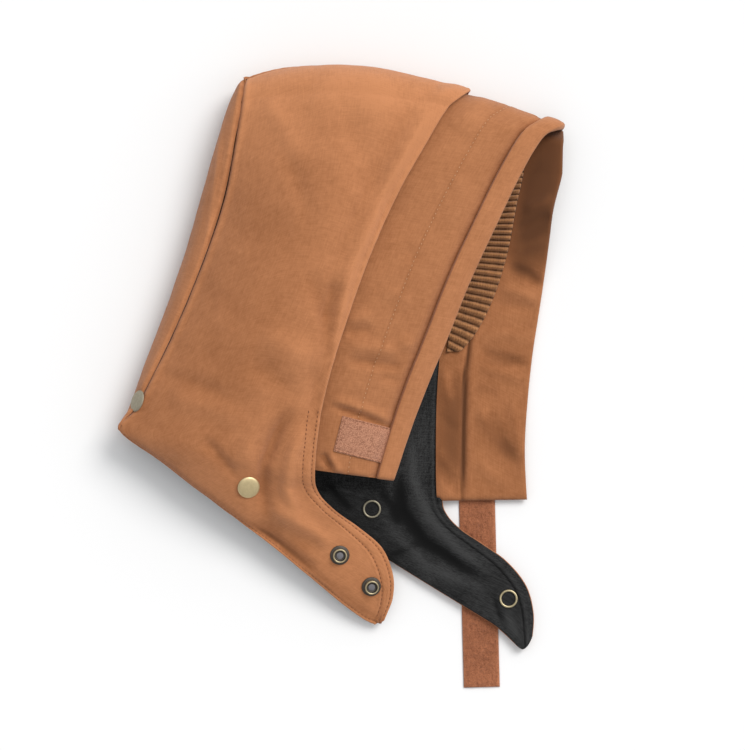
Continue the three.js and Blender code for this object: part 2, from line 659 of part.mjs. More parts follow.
add('side_panel_right', pierced(wall(upper, upperNormals, 0, SHELL, panelTrims), RIGHT_SNAPS), 'duck');
add('side_panel_left', pierced(wall(lower, lowerNormals, 0, SHELL, panelTrims), LEFT_SNAPS), 'duck');
add('centre_panel', pierced(wall(centre, centreNormals, 0, SHELL, centreTrims), CENTRE_SNAPS), 'duck');
add('lining_right', pierced(wall(upper, upperNormals, liningTop, liningBottom, liningTrims), RIGHT_SNAPS), 'lining');
add('lining_left', pierced(wall(lower, lowerNormals, liningTop, liningBottom, liningTrims), LEFT_SNAPS), 'lining');
add('lining_centre',
  pierced(wall(centre, centreNormals, liningTop, liningBottom, centreLiningTrims), CENTRE_SNAPS), 'lining');
add('face_band', wall(frontBand(band), frontBand(bandNormals), 0, BAND, { right: GAP / 2 }, NAPE), 'duck');
add('edge_facing', wall(edgeFacing(band), edgeFacing(bandNormals), 0, BAND, { left: GAP / 2 }, NAPE), 'duck');
add('knit_cuff', wall(cuffPoints, cuffNormals, cuffOuter, cuffInner), 'knit');
add('fastening_patch', tape(patch.points, patch.normals, PATCH_THICKNESS), 'tape');
add('chin_strap', strapSolid(), 'tape');
Object.entries(snaps).forEach(([name, { metal }]) => add(name, metal, 'brass'));

// The origin goes to the middle of the hood's footprint, on the table.
const box = new THREE.Box3().setFromObject(hood);
const middle = box.getCenter(new THREE.Vector3());
hood.position.set(-middle.x, -middle.y, -box.min.z);

export default hood;
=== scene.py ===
import math

import bpy
import numpy as np
from mathutils import Matrix, Vector, noise


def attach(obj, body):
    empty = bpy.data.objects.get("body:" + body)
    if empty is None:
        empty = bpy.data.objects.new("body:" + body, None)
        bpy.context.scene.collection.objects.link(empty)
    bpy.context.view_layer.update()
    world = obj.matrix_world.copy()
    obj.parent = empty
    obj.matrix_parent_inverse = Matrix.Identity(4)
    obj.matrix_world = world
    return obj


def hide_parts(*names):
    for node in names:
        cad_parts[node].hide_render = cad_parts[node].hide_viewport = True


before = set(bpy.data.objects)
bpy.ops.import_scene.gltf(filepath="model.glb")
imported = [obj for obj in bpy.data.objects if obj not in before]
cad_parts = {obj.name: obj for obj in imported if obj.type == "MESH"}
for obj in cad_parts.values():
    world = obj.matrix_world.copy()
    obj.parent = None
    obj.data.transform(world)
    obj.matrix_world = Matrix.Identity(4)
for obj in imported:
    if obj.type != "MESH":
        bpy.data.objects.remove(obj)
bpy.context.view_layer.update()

# Right side panel: the upper half of the lying hood, brown cotton duck cut in one piece with its throat flap.
# Its back and crown are sewn to the centre panel, and its front is folded under and sewn over the face band.

# In millimetres: the hood's width, height and loft, its middle on the table, the thickness of its duck (the
# shell) and of its lining, and the gap between them.
HOOD_WIDTH = 312
HOOD_HEIGHT = 407
LOFT = 58
MIDDLE = (1.407, 15.512)
SHELL = 1.6
GAP = 0.3
LINING = 1.8
# A millimetre in metres
MM = 0.001

# The rows of a side panel at the nape and at its flap's tip, and the length of the flap between them
NAPE_ROW, TIP_ROW = 8, 15
FLAP_LENGTH = 200

# Rows from the crown (0) past the nape (8) to the tip of the throat flap (15), as shares of the hood's
# width, height and loft: back x and y, front x and y, bow, then the height at the back, middle and front.
UPPER = np.array([
    [0.280, 0.976, 0.787, 0.957, 0.031, 0.30, 0.32, 0.28],
    [0.274, 0.933, 0.738, 0.926, 0.017, 0.62, 0.74, 0.60],
    [0.258, 0.857, 0.679, 0.851, 0.007, 0.64, 0.90, 0.74],
    [0.233, 0.763, 0.619, 0.768, 0.000, 0.64, 1.00, 0.80],
    [0.191, 0.665, 0.561, 0.667, 0.000, 0.64, 1.00, 0.82],
    [0.139, 0.567, 0.513, 0.565, 0.000, 0.62, 0.98, 0.80],
    [0.085, 0.479, 0.475, 0.473, 0.000, 0.58, 0.92, 0.76],
    [0.036, 0.409, 0.451, 0.393, 0.000, 0.54, 0.84, 0.68],
    [0.000, 0.371, 0.439, 0.302, 0.000, 0.50, 0.76, 0.58],
    [0.105, 0.311, 0.446, 0.266, 0.000, 0.50, 0.66, 0.46],
    [0.217, 0.247, 0.484, 0.234, 0.000, 0.48, 0.56, 0.38],
    [0.336, 0.179, 0.538, 0.204, 0.000, 0.42, 0.46, 0.32],
    [0.430, 0.120, 0.590, 0.168, 0.000, 0.34, 0.36, 0.27],
    [0.502, 0.074, 0.614, 0.119, 0.000, 0.25, 0.27, 0.22],
    [0.547, 0.050, 0.612, 0.074, 0.000, 0.18, 0.19, 0.17],
    [0.577, 0.040, 0.602, 0.050, 0.000, 0.14, 0.14, 0.14],
]).T

# Large soft folds: centre x and y, direction in degrees, half length and half width as shares of the height,
# and depth as a share of the loft.
FOLDS = [
    (0.575, 0.790, 113, 0.150, 0.030, -0.045),
    (0.335, 0.290, 84, 0.090, 0.030, -0.060),
    (0.405, 0.345, 75, 0.080, 0.030, 0.030),
    (0.440, 0.205, 112, 0.060, 0.030, -0.045),
]


def curve(values, t):
    """Smooth curve through values that stand at t = 0, 1, 2 and so on."""
    v = np.concatenate([values[:1], values, values[-1:]])
    i = np.clip(np.floor(t).astype(int), 0, len(values) - 2)
    f = t - i
    a, b, c, d = v[i], v[i + 1], v[i + 2], v[i + 3]
    return 0.5 * (2 * b + (c - a) * f + (2 * a - 5 * b + 4 * c - d) * f**2 + (3 * (b - c) + d - a) * f**3)


def spot(x, y, z):
    """Place on the table in millimetres, from shares of the hood's width and height."""
    x, y, z = np.broadcast_arrays((x - 0.5) * HOOD_WIDTH + MIDDLE[0], (y - 0.5) * HOOD_HEIGHT + MIDDLE[1], z)
    return np.stack([x, y, z], -1).astype(float)


def soft_folds(x, y):
    """How far the large folds lift the cloth here."""
    total = 0
    for fx, fy, turn, length, width, depth in FOLDS:
        c, s = math.cos(math.radians(turn)), math.sin(math.radians(turn))
        dx, dy = (x - fx) * HOOD_WIDTH, (y - fy) * HOOD_HEIGHT
        along = (dx * c + dy * s) / (length * HOOD_HEIGHT)
        across = (dy * c - dx * s) / (width * HOOD_HEIGHT)
        total = total + depth * LOFT * np.exp(-along**2 - across**2)
    return total


def upper_point(row, w):
    """Point of the upper half, from the back seam (w = 0) to the front (w = 1)."""
    back_x, back_y, front_x, front_y, bow, back_z, mid_z, front_z = (curve(column, row) for column in UPPER)
    x = back_x + (front_x - back_x) * w
    y = back_y + (front_y - back_y) * w + bow * 4 * w * (1 - w) * (1.3 - 0.6 * w)
    z = back_z * (1 - w) * (1 - 2 * w) + mid_z * 4 * w * (1 - w) + front_z * w * (2 * w - 1)
    return spot(x, y, z * LOFT + soft_folds(x, y))


def rolled(rim, shoulder, degrees):
    """Turn from the outermost line (0 degrees) up to the shoulder (90 degrees)."""
    turn = np.radians(degrees)[..., None]
    p = rim + (shoulder - rim) * (1 - np.cos(turn))
    p[..., 2] = (rim + (shoulder - rim) * np.sin(turn))[..., 2]
    return p


def crown_turn(fold, w):
    """How far the crown has turned over. The seam sits higher towards the back."""
    seam = np.interp(w, [0, 0.16, 0.33, 0.49], [25, 8, -10, -25])
    return seam + (90 - seam) * fold


# Distances of the first columns or rows from an edge
EDGE_STEPS = np.array([0, 0.15, 0.5, 1.0, 1.7, 2.5, 3.4, 4.4])


def spread(length, count):
    """Shares across a cloth of this length, closer together beside both edges."""
    length = np.asarray(length, float)[..., None]
    near = EDGE_STEPS / np.maximum(length, 10)
    middle = near[..., -1:] + (1 - 2 * near[..., -1:]) * np.linspace(0, 1, count + 2)[1:-1]
    return np.concatenate([near, middle, 1 - near[..., ::-1]], -1)


def reach(a, b):
    """Distance from each point to the other."""
    return np.linalg.norm(b - a, axis=-1)


# How far the hem and the tip of the near flap lie outside their straight lines
HEM_OUT = np.array([-1.3, -1.9])
NEAR_TIP_OUT = np.array([-1.0, -4.0])
# The front edge of the near flap runs down to the tip no further out than this line.
TIP_LINE_AT, TIP_LINE_OUT = np.array([35.4, -159.2]), np.array([0.924, -0.382])


def fade(value, start, end):
    """From 0 at start to 1 at end, smoothly."""
    t = np.clip((value - start) / (end - start), 0, 1)
    return t * t * (3 - 2 * t)


def flap_stations(count):
    """Row numbers down a throat flap, closer together beside the neck line and beside the tip."""
    return NAPE_ROW + (TIP_ROW - NAPE_ROW) * spread(FLAP_LENGTH, count - 2 * len(EDGE_STEPS))[1:]


def upper_grid(folds, bodies, flaps, count):
    """Points of the upper half row by row, with each row's number and the share of each column."""
    points, shares, rows = [], [], []
    for fold in np.linspace(0, 1, folds, endpoint=False):
        w = spread(reach(upper_point(0.0 * fold, 0.0), upper_point(0.0 * fold, 1.0)), count)
        points.append(rolled(upper_point(0.0 * w, w), upper_point(0.0 * w + 1, w), crown_turn(fold, w)))
        shares.append(w)
        rows.append(fold)
    for row in [*np.linspace(1, NAPE_ROW, bodies), *flap_stations(flaps)]:
        width = reach(upper_point(np.float64(row), 0.0), upper_point(np.float64(row), 1.0))
        w = spread(width, count)
        p = upper_point(0.0 * w + row, w)
        p[:, :2] += HEM_OUT * fade(row, 7.7, 9.5) * ((1 - w) ** 3)[:, None]
        near_tip = fade(row, 13.4, TIP_ROW)
        p[:, :2] += NEAR_TIP_OUT * near_tip * (0.15 + 0.85 * fade(w, 0, 0.6))[:, None]
        past_line = (p[-1, :2] - TIP_LINE_AT) @ TIP_LINE_OUT
        drawn_in = np.logaddexp(0, past_line / 0.5) * 0.5 * fade(row, 13.4, 14.2)
        p[:, :2] -= TIP_LINE_OUT * (drawn_in * w)[:, None]
        points.append(p)
        shares.append(w)
        rows.append(row)
    return np.array(points), np.array(shares), np.array(rows)


def facing(points, outward=1):
    """Outward normals of a grid of points."""
    n = np.cross(np.gradient(points, axis=0), np.gradient(points, axis=1)) * outward
    return n / np.maximum(np.linalg.norm(n, axis=-1, keepdims=True), 1e-9)


def smooth_facing(normals, times):
    """Even out normals with those beside them."""
    for _ in range(times):
        n = np.pad(normals, ((1, 1), (1, 1), (0, 0)), mode="edge")
        normals = n[1:-1, 1:-1] * 2 + n[:-2, 1:-1] + n[2:, 1:-1] + n[1:-1, :-2] + n[1:-1, 2:]
        normals = normals / np.maximum(np.linalg.norm(normals, axis=-1, keepdims=True), 1e-9)
    return normals


def edge_distances(points):
    """Distance of each point from the left, right, first and last edge of its grid, in millimetres."""
    across = np.cumsum(np.pad(reach(points[:, :-1], points[:, 1:]), ((0, 0), (1, 0))), axis=1)
    down = np.cumsum(np.pad(reach(points[:-1], points[1:]), ((1, 0), (0, 0))), axis=0)
    return {"left": across, "right": across[:, -1:] - across, "first": down, "last": down[-1:] - down}


def hump(d, centre, width):
    """A smooth rise to 1 at the centre, or a groove where it is taken away."""
    return np.exp(-(((d - centre) / width) ** 2))


def waviness(points, size, seed):
    """Gentle uneven waves of about this size, from -1 to 1."""
    flat = points.reshape(-1, 3) / size
    made = [noise.noise(Vector((x, y, z + seed * 7.3))) for x, y, z in flat]
    return np.array(made).reshape(points.shape[:-1]) * 1.6


def creases(points, lines):
    """Creases along bent lines. Each is half width, height and then x and y of its points, in millimetres."""
    total = np.zeros(points.shape[:-1])
    for width, height, *line in lines:
        bends = np.array(line, float).reshape(-1, 2)
        run = np.concatenate([[0], np.cumsum(reach(bends[:-1], bends[1:]))])
        nearest, at = np.full(total.shape, 1e9), np.zeros(total.shape)
        for a, b, so_far, length in zip(bends[:-1], bends[1:], run[:-1], np.diff(run)):
            away = points[..., :2] - a
            t = np.clip(away @ (b - a) / length**2, 0, 1)
            gap = np.linalg.norm(away - t[..., None] * (b - a), axis=-1)
            closer = gap < nearest
            nearest = np.where(closer, gap, nearest)
            at = np.where(closer, (so_far + t * length) / run[-1], at)
        taper = np.sin(np.clip(np.minimum(at, 1 - at) / 0.3, 0, 1) * math.pi / 2)
        total += height * taper * np.exp(-((nearest / width) ** 2))
    return total


def cloth(name, points, normals, thickness, outer_lift=0.0, inner_lift=0.0, depth=0.0, rounded=(), uv=None,
          wear_and_shade=None):
    """A closed cloth wall under a grid of points, with rounded edges where they are free.
    Its UV map holds centimetres of cloth, and its relief attribute holds the tone given for worn cloth and
    painted light and shade, or else how raised it is, which paints its grooves darker as painted shade."""
    distance = edge_distances(points)
    half = thickness / 2
    drop = np.zeros(points.shape[:2])
    for side in rounded:
        d = np.minimum(distance[side], half)
        drop = np.maximum(drop, half - np.sqrt(np.maximum(half**2 - (half - d) ** 2, 0)))
    drop = np.minimum(drop, half * 0.98)[..., None]
    outer_lift = np.broadcast_to(outer_lift, points.shape[:2])[..., None]
    inner_lift = np.broadcast_to(inner_lift, points.shape[:2])[..., None]
    outer = points + normals * (outer_lift - depth - drop)
    inner = points + normals * (inner_lift - depth - thickness + drop)
    outer[..., 2], inner[..., 2] = np.maximum(outer[..., 2], 0), np.maximum(inner[..., 2], 0)
    rows, columns = points.shape[:2]
    number = np.arange(rows * columns).reshape(rows, columns)
    under = number + rows * columns
    a, b, c, d = number[:-1, :-1], number[1:, :-1], number[1:, 1:], number[:-1, 1:]
    quads = [np.stack([a, b, c, d], -1), np.stack([a, d, c, b], -1) + rows * columns]
    border = np.concatenate([number[:-1, 0], number[-1, :-1], number[:0:-1, -1], number[0, :0:-1]])
    back = np.concatenate([under[:-1, 0], under[-1, :-1], under[:0:-1, -1], under[0, :0:-1]])
    quads.append(np.stack([np.roll(border, -1), border, back, np.roll(back, -1)], -1))
    faces = np.concatenate([q.reshape(-1, 4) for q in quads])
    turned = np.sum(np.cross(np.gradient(points, axis=0), np.gradient(points, axis=1)) * normals) < 0
    if turned:
        faces = faces[:, ::-1]
    mesh = bpy.data.meshes.new(name)
    vertices = np.concatenate([outer.reshape(-1, 3), inner.reshape(-1, 3)]) * MM
    mesh.from_pydata(vertices.tolist(), [], faces.tolist())
    if uv is None:
        uv = np.stack([distance["left"], distance["first"]], -1)
    flat = np.tile(uv.reshape(-1, 2) / 10, (2, 1))
    corners = np.empty(len(mesh.loops), int)
    mesh.loops.foreach_get("vertex_index", corners)
    mesh.uv_layers.new(name="cloth").data.foreach_set("uv", flat[corners].ravel())
    shown = (outer_lift[..., 0], inner_lift[..., 0]) if wear_and_shade is None else (wear_and_shade, wear_and_shade)
    relief = [np.broadcast_to(lift, points.shape[:2]).ravel() for lift in shown]
    mesh.attributes.new("relief", "FLOAT", "POINT").data.foreach_set("value", np.concatenate(relief))
    borders = {"left": number[:, 0], "right": number[:, -1], "first": number[0], "last": number[-1]}
    ends = np.empty(len(mesh.edges) * 2, int)
    mesh.edges.foreach_get("vertices", ends)
    crisp = np.zeros(len(mesh.edges), bool)
    for side in set(borders) - set(rounded):
        for line in (borders[side], borders[side] + rows * columns):
            crisp |= np.isin(ends.reshape(-1, 2), line).all(axis=1)
    mesh.attributes.new("sharp_edge", "BOOLEAN", "EDGE").data.foreach_set("value", crisp)
    return mesh


def put(mesh, material, slot, *nodes):
    """Put a finished mesh on the hood in place of its solids."""
    mesh.validate()
    piece = bpy.data.objects.new(mesh.name, mesh)
    bpy.context.collection.objects.link(piece)
    mesh.materials.append(material)
    mesh.polygons.foreach_set("use_smooth", [True] * len(mesh.polygons))
    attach(piece, "root")
    if nodes:
        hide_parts(*nodes)
    return piece


def add_node(tree, kind, *inputs, **settings):
    """Add a shader node. Each input is a value, a socket or None, in the node's own order."""
    made = tree.nodes.new(kind)
    for name, value in settings.items():
        setattr(made, name, value)
    for socket, value in zip(made.inputs, inputs):
        if isinstance(value, bpy.types.NodeSocket):
            tree.links.new(value, socket)
        elif value is not None:
            socket.default_value = value
    return made


def math_node(tree, operation, *inputs):
    """The result of a Math node."""
    return add_node(tree, "ShaderNodeMath", *inputs, operation=operation).outputs[0]


def noise_value(tree, vector, scale, detail=2.0, rough=0.5):
    """The value of a Noise Texture node, about 0.5."""
    made = add_node(tree, "ShaderNodeTexNoise", vector)
    made.inputs["Scale"].default_value = scale
    made.inputs["Detail"].default_value = detail
    made.inputs["Roughness"].default_value = rough
    return made.outputs[0]


def new_group(name, inputs, outputs):
    """An empty shader group with its sockets, given as (name, kind, default)."""
    group = bpy.data.node_groups.new(name, "ShaderNodeTree")
    for label, kind, default in inputs:
        socket = group.interface.new_socket(label, in_out="INPUT", socket_type=kind)
        if default is not None:
            socket.default_value = default
    for label, kind in outputs:
        group.interface.new_socket(label, in_out="OUTPUT", socket_type=kind)
    return group, group.nodes.new("NodeGroupInput").outputs, group.nodes.new("NodeGroupOutput").inputs


# Plain weave: threads over and under each other, some thicker than others. Cloth coordinates are centimetres.
plain_weave, given, result = new_group(
    "plain weave",
    [("Cloth", "NodeSocketVector", None), ("Threads", "NodeSocketFloat", 12.0)],
    [("Height", "NodeSocketFloat"), ("Slub", "NodeSocketFloat")],
)
scaled = add_node(plain_weave, "ShaderNodeVectorMath", given["Cloth"], given["Threads"], operation="MULTIPLY")
parts = add_node(plain_weave, "ShaderNodeSeparateXYZ", scaled.outputs[0])
waves = []
for axis in (0, 1):
    turned = math_node(plain_weave, "MULTIPLY", parts.outputs[axis], math.tau)
    waves.append(math_node(plain_weave, "SINE", turned))
over = math_node(plain_weave, "MULTIPLY", *waves)
streaks = []
for stretch in ((0.25, 3.0, 1.0), (3.0, 0.25, 1.0)):
    pulled = add_node(plain_weave, "ShaderNodeVectorMath", given["Cloth"], stretch, operation="MULTIPLY")
    streaks.append(noise_value(plain_weave, pulled.outputs[0], 3.6, 3.0, 0.7))
slub = math_node(plain_weave, "MULTIPLY", math_node(plain_weave, "ADD", *streaks), 0.5)
uneven = math_node(plain_weave, "ADD", math_node(plain_weave, "MULTIPLY", over, 0.5), slub)
plain_weave.links.new(uneven, result["Height"])
plain_weave.links.new(slub, result["Slub"])

# Washed cloth: cloudy colour from worn places and dye, with painted light and shade from the relief: paler
# where the cloth stands up, darker in its grooves.
washed_and_shaded, given, result = new_group(
    "washed cloth",
    [("Relief", "NodeSocketFloat", 0.0), ("Strength", "NodeSocketFloat", 1.0)],
    [("Tone", "NodeSocketFloat"), ("Painted_deep_shade", "NodeSocketFloat")],
)
place = add_node(washed_and_shaded, "ShaderNodeTexCoord").outputs["Object"]
broad = noise_value(washed_and_shaded, place, 30.0, 3.0, 0.6)
fine = noise_value(washed_and_shaded, place, 260.0, 3.0, 0.7)
cloud = math_node(washed_and_shaded, "ADD", broad, fine)
cloud = math_node(washed_and_shaded, "MULTIPLY", math_node(washed_and_shaded, "SUBTRACT", cloud, 1.0), 1.1)
tone = math_node(washed_and_shaded, "MULTIPLY_ADD", given["Relief"], 0.55, cloud)
tone = math_node(washed_and_shaded, "MULTIPLY_ADD", math_node(washed_and_shaded, "MULTIPLY", tone, given["Strength"]), 0.5, 0.5)
washed_and_shaded.links.new(add_node(washed_and_shaded, "ShaderNodeClamp", tone).outputs[0], result["Tone"])
# Painted shade: where the relief is lowest, a share for darkening the colour further.
deep_shade_share = math_node(washed_and_shaded, "MULTIPLY_ADD", given["Relief"], -0.6, -0.6)
washed_and_shaded.links.new(add_node(washed_and_shaded, "ShaderNodeClamp", deep_shade_share).outputs[0], result["Painted_deep_shade"])


def fabric(name, dark, light, threads=12.0, weave_depth=0.00025, strength=1.0, roughness=0.9, sheen=0.15,
           grain_share=1.5, flecks=(9.0, 0.0)):
    """A cloth whose colour lies between a dark and a light tone.
    Threads and flecks are numbers per centimetre, and flecks also have a strength."""
    material = bpy.data.materials.new(name)
    material.use_nodes = True
    tree = material.node_tree
    shader = tree.nodes["Principled BSDF"]
    shader.inputs["Roughness"].default_value = roughness
    shader.inputs["Sheen Weight"].default_value = sheen
    shader.inputs["Specular IOR Level"].default_value = 0.2
    uv = add_node(tree, "ShaderNodeUVMap", uv_map="cloth").outputs[0]
    relief = add_node(tree, "ShaderNodeAttribute", attribute_name="relief").outputs["Fac"]
    weave = add_node(tree, "ShaderNodeGroup", node_tree=plain_weave)
    tree.links.new(uv, weave.inputs["Cloth"])
    weave.inputs["Threads"].default_value = threads
    wear_and_shade = add_node(tree, "ShaderNodeGroup", node_tree=washed_and_shaded)
    tree.links.new(relief, wear_and_shade.inputs["Relief"])
    wear_and_shade.inputs["Strength"].default_value = strength
    slub_step = math_node(tree, "SUBTRACT", weave.outputs["Slub"], 0.5)
    grain = math_node(tree, "MULTIPLY_ADD", slub_step, grain_share, wear_and_shade.outputs["Tone"])
    cells = add_node(tree, "ShaderNodeTexVoronoi", uv)
    cells.inputs["Scale"].default_value = flecks[0]
    fleck = math_node(tree, "SUBTRACT", 0.45, cells.outputs["Distance"])
    grain = math_node(tree, "MULTIPLY_ADD", fleck, flecks[1], grain)
    blend = add_node(tree, "ShaderNodeMix", data_type="RGBA", clamp_factor=True)
    tree.links.new(grain, blend.inputs["Factor"])
    blend.inputs[6].default_value = (*dark, 1)
    blend.inputs[7].default_value = (*light, 1)
    # Painted shade: where it is deepest, the colour darkens towards less than half of the dark tone.
    folds = add_node(tree, "ShaderNodeMix", data_type="RGBA", clamp_factor=True)
    tree.links.new(wear_and_shade.outputs["Painted_deep_shade"], folds.inputs["Factor"])
    tree.links.new(blend.outputs[2], folds.inputs[6])
    folds.inputs[7].default_value = (*(0.42 * c for c in dark), 1)
    tree.links.new(folds.outputs[2], shader.inputs["Base Color"])
    bump = add_node(tree, "ShaderNodeBump")
    bump.inputs["Strength"].default_value = 0.6
    bump.inputs["Distance"].default_value = weave_depth
    tree.links.new(weave.outputs["Height"], bump.inputs["Height"])
    tree.links.new(bump.outputs[0], shader.inputs["Normal"])
    return material


duck = fabric("brown duck", (0.278, 0.102, 0.036), (0.505, 0.208, 0.088))

upper, upper_shares, upper_rows = upper_grid(14, 112, 92, 92)

# Wrinkles of the right side panel
PANEL_CREASES = [
    (9, 1.2, -55, 31, -32, 19, -11, 4), (9, -1.1, -66, 14, -46, 0, -25, -17),
    (6, -1.2, -20, 74, -13, 47, -7, 25), (9, -1.8, -62, -100, -34, -113, -11, -116),
    (6, -0.9, -22, 18, -17, -4, -19, -28), (14, 1.4, -20, 200, 10, 196, 40, 186),
    (4, -2.4, -33, -20, -45, -40, -53, -61, -54, -80, -51, -98),
    (4.5, 2.0, -24, -32, -33, -52, -38, -77, -30, -98),
    (6, 1.3, -47, -18, -62, -42, -68, -63), (4.5, -1.4, -96, -42, -82, -57, -72, -70),
    (6, 1.9, -51, -88, -29, -101, -3, -118), (5, -1.7, -59, -108, -36, -122, -16, -136),
    (6, -0.9, -133, 4, -106, -2, -78, -14), (7, 0.8, -120, -14, -88, -21, -64, -30),
    (7, -0.8, -39, 159, -29, 131, -16, 100), (7, 0.7, -55, 198, -39, 173, -25, 145),
    (5, -1.6, -3, 66, -8, 46, -9, 38), (6, 0.9, 46, 186, 58, 196),
    (4, -1.0, 3, -70, -8, -85, -13, -94), (4, 0.9, -3, -73, -13, -85, -17, -99),
]


def seam_puckers(d, along, pitch):
    """Small even gathers that a line of sewing pulls into the cloth beside it."""
    return hump(d, 3.0, 3.0) * np.sin(along * math.tau / pitch + 1.5 * np.sin(along / 23))


# Sag of the panel, roll of its hem, and its large wrinkles, which end before the seams
sagging = fade(upper_rows, 1.2, 2.8) * (1 - fade(upper_rows, 6.5, 8.2))
hem_roll = fade(upper_rows, 7.6, 9.0) * (1 - 0.6 * fade(upper_rows, 12, 15))
upper_edge = edge_distances(upper)
shape = -1.5 * sagging[:, None] * np.sin(math.pi * np.clip(upper_shares / 0.85, 0, 1)) ** 1.5
shape -= 3.6 * hem_roll[:, None] * np.exp(-upper_edge["left"] / 7)
shape -= 1.4 * np.exp(-((upper_edge["left"] ** 2 + upper_edge["first"] ** 2) / 5**2))
quiet_edges = fade(upper_edge["right"], 0, 5) * fade(upper_edge["left"], 0, 5)
shape += (1.6 * creases(upper, PANEL_CREASES) + 0.8 * waviness(upper, 52, 1)) * quiet_edges
# The folded front edge stands up as a rounded strip, wide at the crown and narrow at the throat.
strip_width = np.interp(upper_rows, [0, 1, 4.2, 4.8, 5.3, 5.7, 8], [9, 11.5, 11.5, 8, 5.5, 3, 2])[:, None]
strip_height = np.interp(upper_rows, [0, 1, 2, 4.5, 6, 8], [0.4, 1.5, 2.6, 2.4, 1.0, 0.5])[:, None]
beside_strip = hump(upper_edge["right"], strip_width * 1.9 + 2, 5)
standing = hump(upper_edge["right"], strip_width, 0.5 * strip_width + 1) - 0.5 * beside_strip
shape += strip_height * standing * (1 - fade(upper_rows, 7.2, 8.0))[:, None]
upper = upper + smooth_facing(facing(upper), 3) * shape[..., None]
upper_normals = smooth_facing(facing(upper), 1)
# The panel's body gives way to its flap about the neck line.
body_part = np.clip((8.3 - upper_rows) / 0.6, 0, 1)[:, None]
flap_part = np.clip((upper_rows - 7.2) / 0.8, 0, 1)[:, None]

# Grooves, ridges and puckers of the seams, the hem and the two rows of topstitching
FLAP_STITCH_ROWS = (2.8, 9.6)
back, front = upper_edge["left"], upper_edge["right"]
upper_lift = 0.22 * waviness(upper, 17, 2) + 0.07 * waviness(upper, 6, 3)
deep = 0.3 + 0.7 * fade(-upper_rows, -4.2, -2.6)[:, None]
upper_lift += body_part * (-1.3 * deep * hump(back, 0, 0.7 + 0.6 * deep) + 0.8 * hump(back, 3.6, 2.0))
upper_lift += body_part * 0.14 * seam_puckers(back, upper_edge["first"], 9)
upper_lift += -0.9 * hump(upper_edge["first"], 0, 1.2) + 0.4 * hump(upper_edge["first"], 3.4, 2.0)
throat_groove = 0.35 * hump(front, 3.2, 0.8) * fade(upper_rows, 4.5, 6.0)[:, None]
front_puckers = 0.14 * seam_puckers(front, upper_edge["first"], 11)
upper_lift += (1 - flap_part) * (0.5 * hump(front, 1.4, 1.2) - throat_groove + front_puckers)
for line in FLAP_STITCH_ROWS:
    upper_lift += flap_part * (-0.5 * hump(front, line, 0.8) + 0.3 * hump(front, line + 1.9, 0.9))
flap_puckers = 0.15 * seam_puckers(front - 3, upper_edge["first"], 6)
upper_lift += flap_part * (0.45 * hump(front, 6.2, 2.4) + flap_puckers)
hem_ridges = -0.4 * hump(back, 2.6, 0.7) + 0.3 * hump(back, 1.3, 0.8) + 0.25 * hump(back, 4.2, 1.5)
upper_lift += (1 - body_part) * hem_ridges

# Painted light and shade: the crown is painted palest as if lit most, the throat flap a little paler, and the
# back of the panel darkest.
painted_light_by_row = 1.0 * (1 - fade(upper_rows, 0.6, 4.0)) + 0.4 * fade(upper_rows, 8, 10) + 0.15
# A pale line at the hem's edge, and a band of painted shade inside it where the hem rolls under.
hem_line_and_shade = (1 - body_part) * (0.9 * hump(back, 0.6, 0.8) - 0.9 * hump(back, 6.5, 3.5))
# The panel's tone follows the seams' relief and the large folds as painted shade and light, darker in hollows
# and paler on rises, with a pale line along the front edge.
panel_tone_and_shade = upper_lift + 0.3 * shape * quiet_edges + painted_light_by_row[:, None] + hem_line_and_shade + 0.7 * hump(front, 0.6, 1.2)
# Painted highlight along the folded front strip, and painted shade in a band beside it.
on_strip = fade(upper_rows, 0.8, 2.0) * (1 - fade(upper_rows, 5.5, 6.5))
strip_light_and_shade = 0.95 * (1 - fade(front - strip_width, -1.5, 1.5)) - 0.4 * hump(front, strip_width + 4.0, 3.0)
panel_tone_and_shade += on_strip[:, None] * strip_light_and_shade
# Painted shade: the panel darkens towards its back seam, where it slopes away from the light.
panel_tone_and_shade -= 0.45 * body_part * np.exp(-back / 38) * fade(upper_rows, 1, 3)[:, None]
right_panel = put(cloth("side_panel_right", upper, upper_normals, SHELL, upper_lift, upper_lift * 0.4,
                        rounded=("left", "right", "last"), wear_and_shade=panel_tone_and_shade), duck, "duck", "side_panel_right")

lining_black = fabric("black lining", (0.0065, 0.0065, 0.0066), (0.050, 0.050, 0.050), threads=16.0,
                      weave_depth=0.0005, strength=0.9, roughness=0.95, sheen=0.03, grain_share=2.4,
                      flecks=(15.0, 0.8))


def inside(points, normals, first=0, last=0, left=0, right=0, step=3):
    """A coarser grid for a lining, with its edges pulled back by whole columns or rows."""
    rows = np.r_[first:len(points) - last:step, len(points) - last - 1]
    columns = np.r_[left:points.shape[1] - right:step, points.shape[1] - right - 1]
    rows, columns = np.unique(rows), np.unique(columns)
    return points[np.ix_(rows, columns)], normals[np.ix_(rows, columns)]


inner_points, inner_normals = inside(upper, upper_normals, first=1, last=7, left=4, right=4, step=2)
right_lining = put(cloth("lining_right", inner_points, inner_normals, LINING, depth=SHELL + GAP,
                         rounded=("left", "right", "last")), lining_black, "lining", "lining_right")

# Left side panel: the mirror image of the right one, underneath, with its outer face on the table.
# Only its throat flap shows, lining up, with a narrow rim of duck round the lining.

